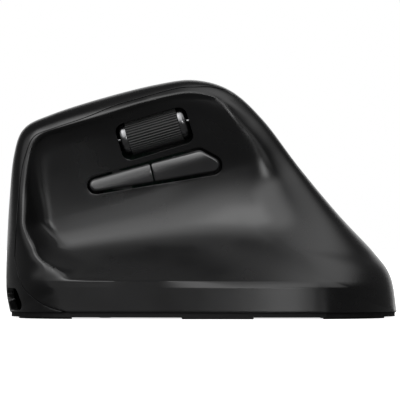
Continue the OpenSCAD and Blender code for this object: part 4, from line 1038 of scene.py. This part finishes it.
def board_painted_shade():
    """Matt solder mask painted near black, as painted shade for the boards seen through the gaps round the
    keys and the roller, with copper runs just showing under it.
    """
    material, tree, shader = new_material("board_painted_shade")
    place = object_place(tree)
    runs = add_node(tree, "ShaderNodeTexBrick", {"Scale": 1000 / 6, "Mortar Size": 0.05, "Vector": place})
    fill(tree, shader, {
        "Specular IOR Level": 0.1,
        "Base Color": two_tones(tree, runs.outputs["Fac"], (0.004, 0.012, 0.008), (0.008, 0.022, 0.014)),
        "Roughness": spread(tree, noise(tree, place, 0.8), 0.3, 0.7, 0.55, 0.7)})
    return material


def pouch_foil():
    """Laminated foil with soft wrinkles."""
    material, tree, shader = new_material("pouch_foil")
    place = object_place(tree)
    wrinkles = add_node(tree, "ShaderNodeBump", {"Distance": 0.0002, "Height": noise(tree, place, 6.0, 3.0)})
    fill(tree, shader, {
        "Metallic": 1,
        "Base Color": two_tones(tree, noise(tree, place, 4.0), (0.42, 0.43, 0.45), (0.55, 0.56, 0.58)),
        "Roughness": spread(tree, noise(tree, place, 1.0), 0.3, 0.7, 0.3, 0.45),
        "Normal": wrinkles.outputs["Normal"]})
    return material


finish_with(inner_black, "left_lever", "right_lever", "roller_cradle", "wheel_carrier", "frame", "scroll_hub")
finish_with(pin_steel, "roller_axle", "scroll_axle", "carrier_pin", "board_screws")
# The port and the hinge pin take the near-black steel, as painted shade in the recess and the gap.
finish_with(steel_painted_shade, "charging_port", "hinge_pin")
# The boards are painted near black: painted shade in the gaps round the keys and the roller.
finish_with(board_painted_shade(), "button_board", "thumb_board", "main_board")
switches = ("left", "right", "middle", "resolution", "forward", "back")
finish_with(switch_black, "roller_encoder", "scroll_encoder", "power_switch", "optical_sensor",
            *[s + "_switch" for s in switches])
finish_with(pale_plastic, "power_slider", *[s + "_plunger" for s in switches])
finish_with(pouch_foil(), "battery")

# The studio: a pale desk that keeps a faint shadow, a white surround with soft lights in it, one small
# lamp over the thumb side, and a long lens level with the middle of the body, as in the photograph.
# Each soft light has its azimuth and elevation, its reach in degrees and its strength.
soft_boxes = ((-18, 38, 29, 2.5), (10, 3, 8, 6.5), (-65, 8, 32, 0.8), (36, 4, 9, 1.0), (75, 62, 34, 1.3))
desk_z = -2e-5
camera_far = 3.0
camera_x = -0.00046
camera_z = 0.0362
picture_width = 0.1228

key_lamp = bpy.data.lights.new("key_lamp", "AREA")
key_lamp.shape = "RECTANGLE"
key_lamp.size = 0.6
key_lamp.size_y = 0.5
key_lamp.energy = 1.5
lamp_obj = bpy.data.objects.new("key_lamp", key_lamp)
lamp_obj.location = (-0.6, -0.65, 0.75)
lamp_obj.rotation_euler = (Vector((0, 0, 0.03)) - lamp_obj.location).to_track_quat("-Z", "Y").to_euler()
scene.collection.objects.link(lamp_obj)


def shows_background(tree, in_reflections):
    """One for the camera and through clear pieces, and in reflections as far as given."""
    seen = add_node(tree, "ShaderNodeLightPath").outputs
    glossy = math_of(tree, seen["Is Glossy Ray"], in_reflections, "MULTIPLY")
    direct = math_of(tree, seen["Is Camera Ray"], seen["Is Transmission Ray"])
    return math_of(tree, direct, glossy)


def soft_box(tree, direction, azimuth, elevation, reach, strength):
    """A wide soft light on the surround, full at its middle and half as strong at its reach."""
    around = math.radians(azimuth)
    above = math.radians(elevation)
    way = (math.cos(above) * math.sin(around), -math.cos(above) * math.cos(around), math.sin(above))
    facing = add_node(tree, "ShaderNodeVectorMath", {0: direction, 1: way}, operation="DOT_PRODUCT")
    fall = {"From Min": 2 * math.cos(math.radians(reach)) - 1, "From Max": 1, "To Min": 0,
            "To Max": strength, "Value": facing.outputs["Value"]}
    return add_node(tree, "ShaderNodeMapRange", fall, interpolation_type="SMOOTHSTEP").outputs["Result"]


def mixed(tree, share, first, second):
    return add_node(tree, "ShaderNodeMixShader", {
        0: share, 1: first.outputs[0], 2: second.outputs[0]})


world = bpy.data.worlds.new("surround")
scene.world = world
world.use_nodes = True
tree = world.node_tree
direction = add_node(tree, "ShaderNodeTexCoord").outputs["Generated"]
level = 0.06
for azimuth, elevation, reach, strength in soft_boxes:
    level = math_of(tree, soft_box(tree, direction, azimuth, elevation, reach, strength), level)
backdrop = soft_box(tree, direction, 180, 8, 20, 1.0)
dim = tree.nodes["Background"]
fill(tree, dim, {"Color": (1, 1, 1, 1), "Strength": level})
white = add_node(tree, "ShaderNodeBackground", {"Color": (1, 1, 1, 1)})
surround = mixed(tree, shows_background(tree, backdrop), dim, white)
fill(tree, tree.nodes["World Output"], {"Surface": surround.outputs[0]})

desk_mesh = bpy.data.meshes.new("desk")
desk_mesh.from_pydata([(x, y, desk_z) for x, y in ((-4, -4), (4, -4), (4, 4), (-4, 4))], [], [(0, 1, 2, 3)])
desk = bpy.data.objects.new("desk", desk_mesh)
scene.collection.objects.link(desk)
desk_paint, tree, shader = new_material("desk_paint")
tree.nodes.remove(shader)
glow = add_node(tree, "ShaderNodeEmission", {"Strength": 0.78})
pale = add_node(tree, "ShaderNodeBsdfDiffuse", {"Color": (0.6, 0.6, 0.6, 1)})
lit = add_node(tree, "ShaderNodeAddShader", {0: glow.outputs[0], 1: pale.outputs[0]})
shade = add_node(tree, "ShaderNodeBsdfDiffuse", {"Color": (0.05, 0.05, 0.05, 1)})
top = mixed(tree, shows_background(tree, 0.04), shade, lit)
from_below = add_node(tree, "ShaderNodeNewGeometry").outputs["Backfacing"]
desk_shader = mixed(tree, from_below, top, add_node(tree, "ShaderNodeBsdfTransparent"))
fill(tree, tree.nodes["Material Output"], {"Surface": desk_shader.outputs[0]})
desk_mesh.materials.append(desk_paint)

camera = bpy.data.cameras.new("camera")
camera.sensor_width = 36
camera.lens = 36 * camera_far / picture_width
camera.clip_end = 100
camera_obj = bpy.data.objects.new("camera", camera)
camera_obj.location = (camera_x, -camera_far, camera_z)
camera_obj.rotation_euler = (math.pi / 2, 0, 0)
scene.collection.objects.link(camera_obj)
scene.camera = camera_obj
scene.view_settings.view_transform = "Standard"
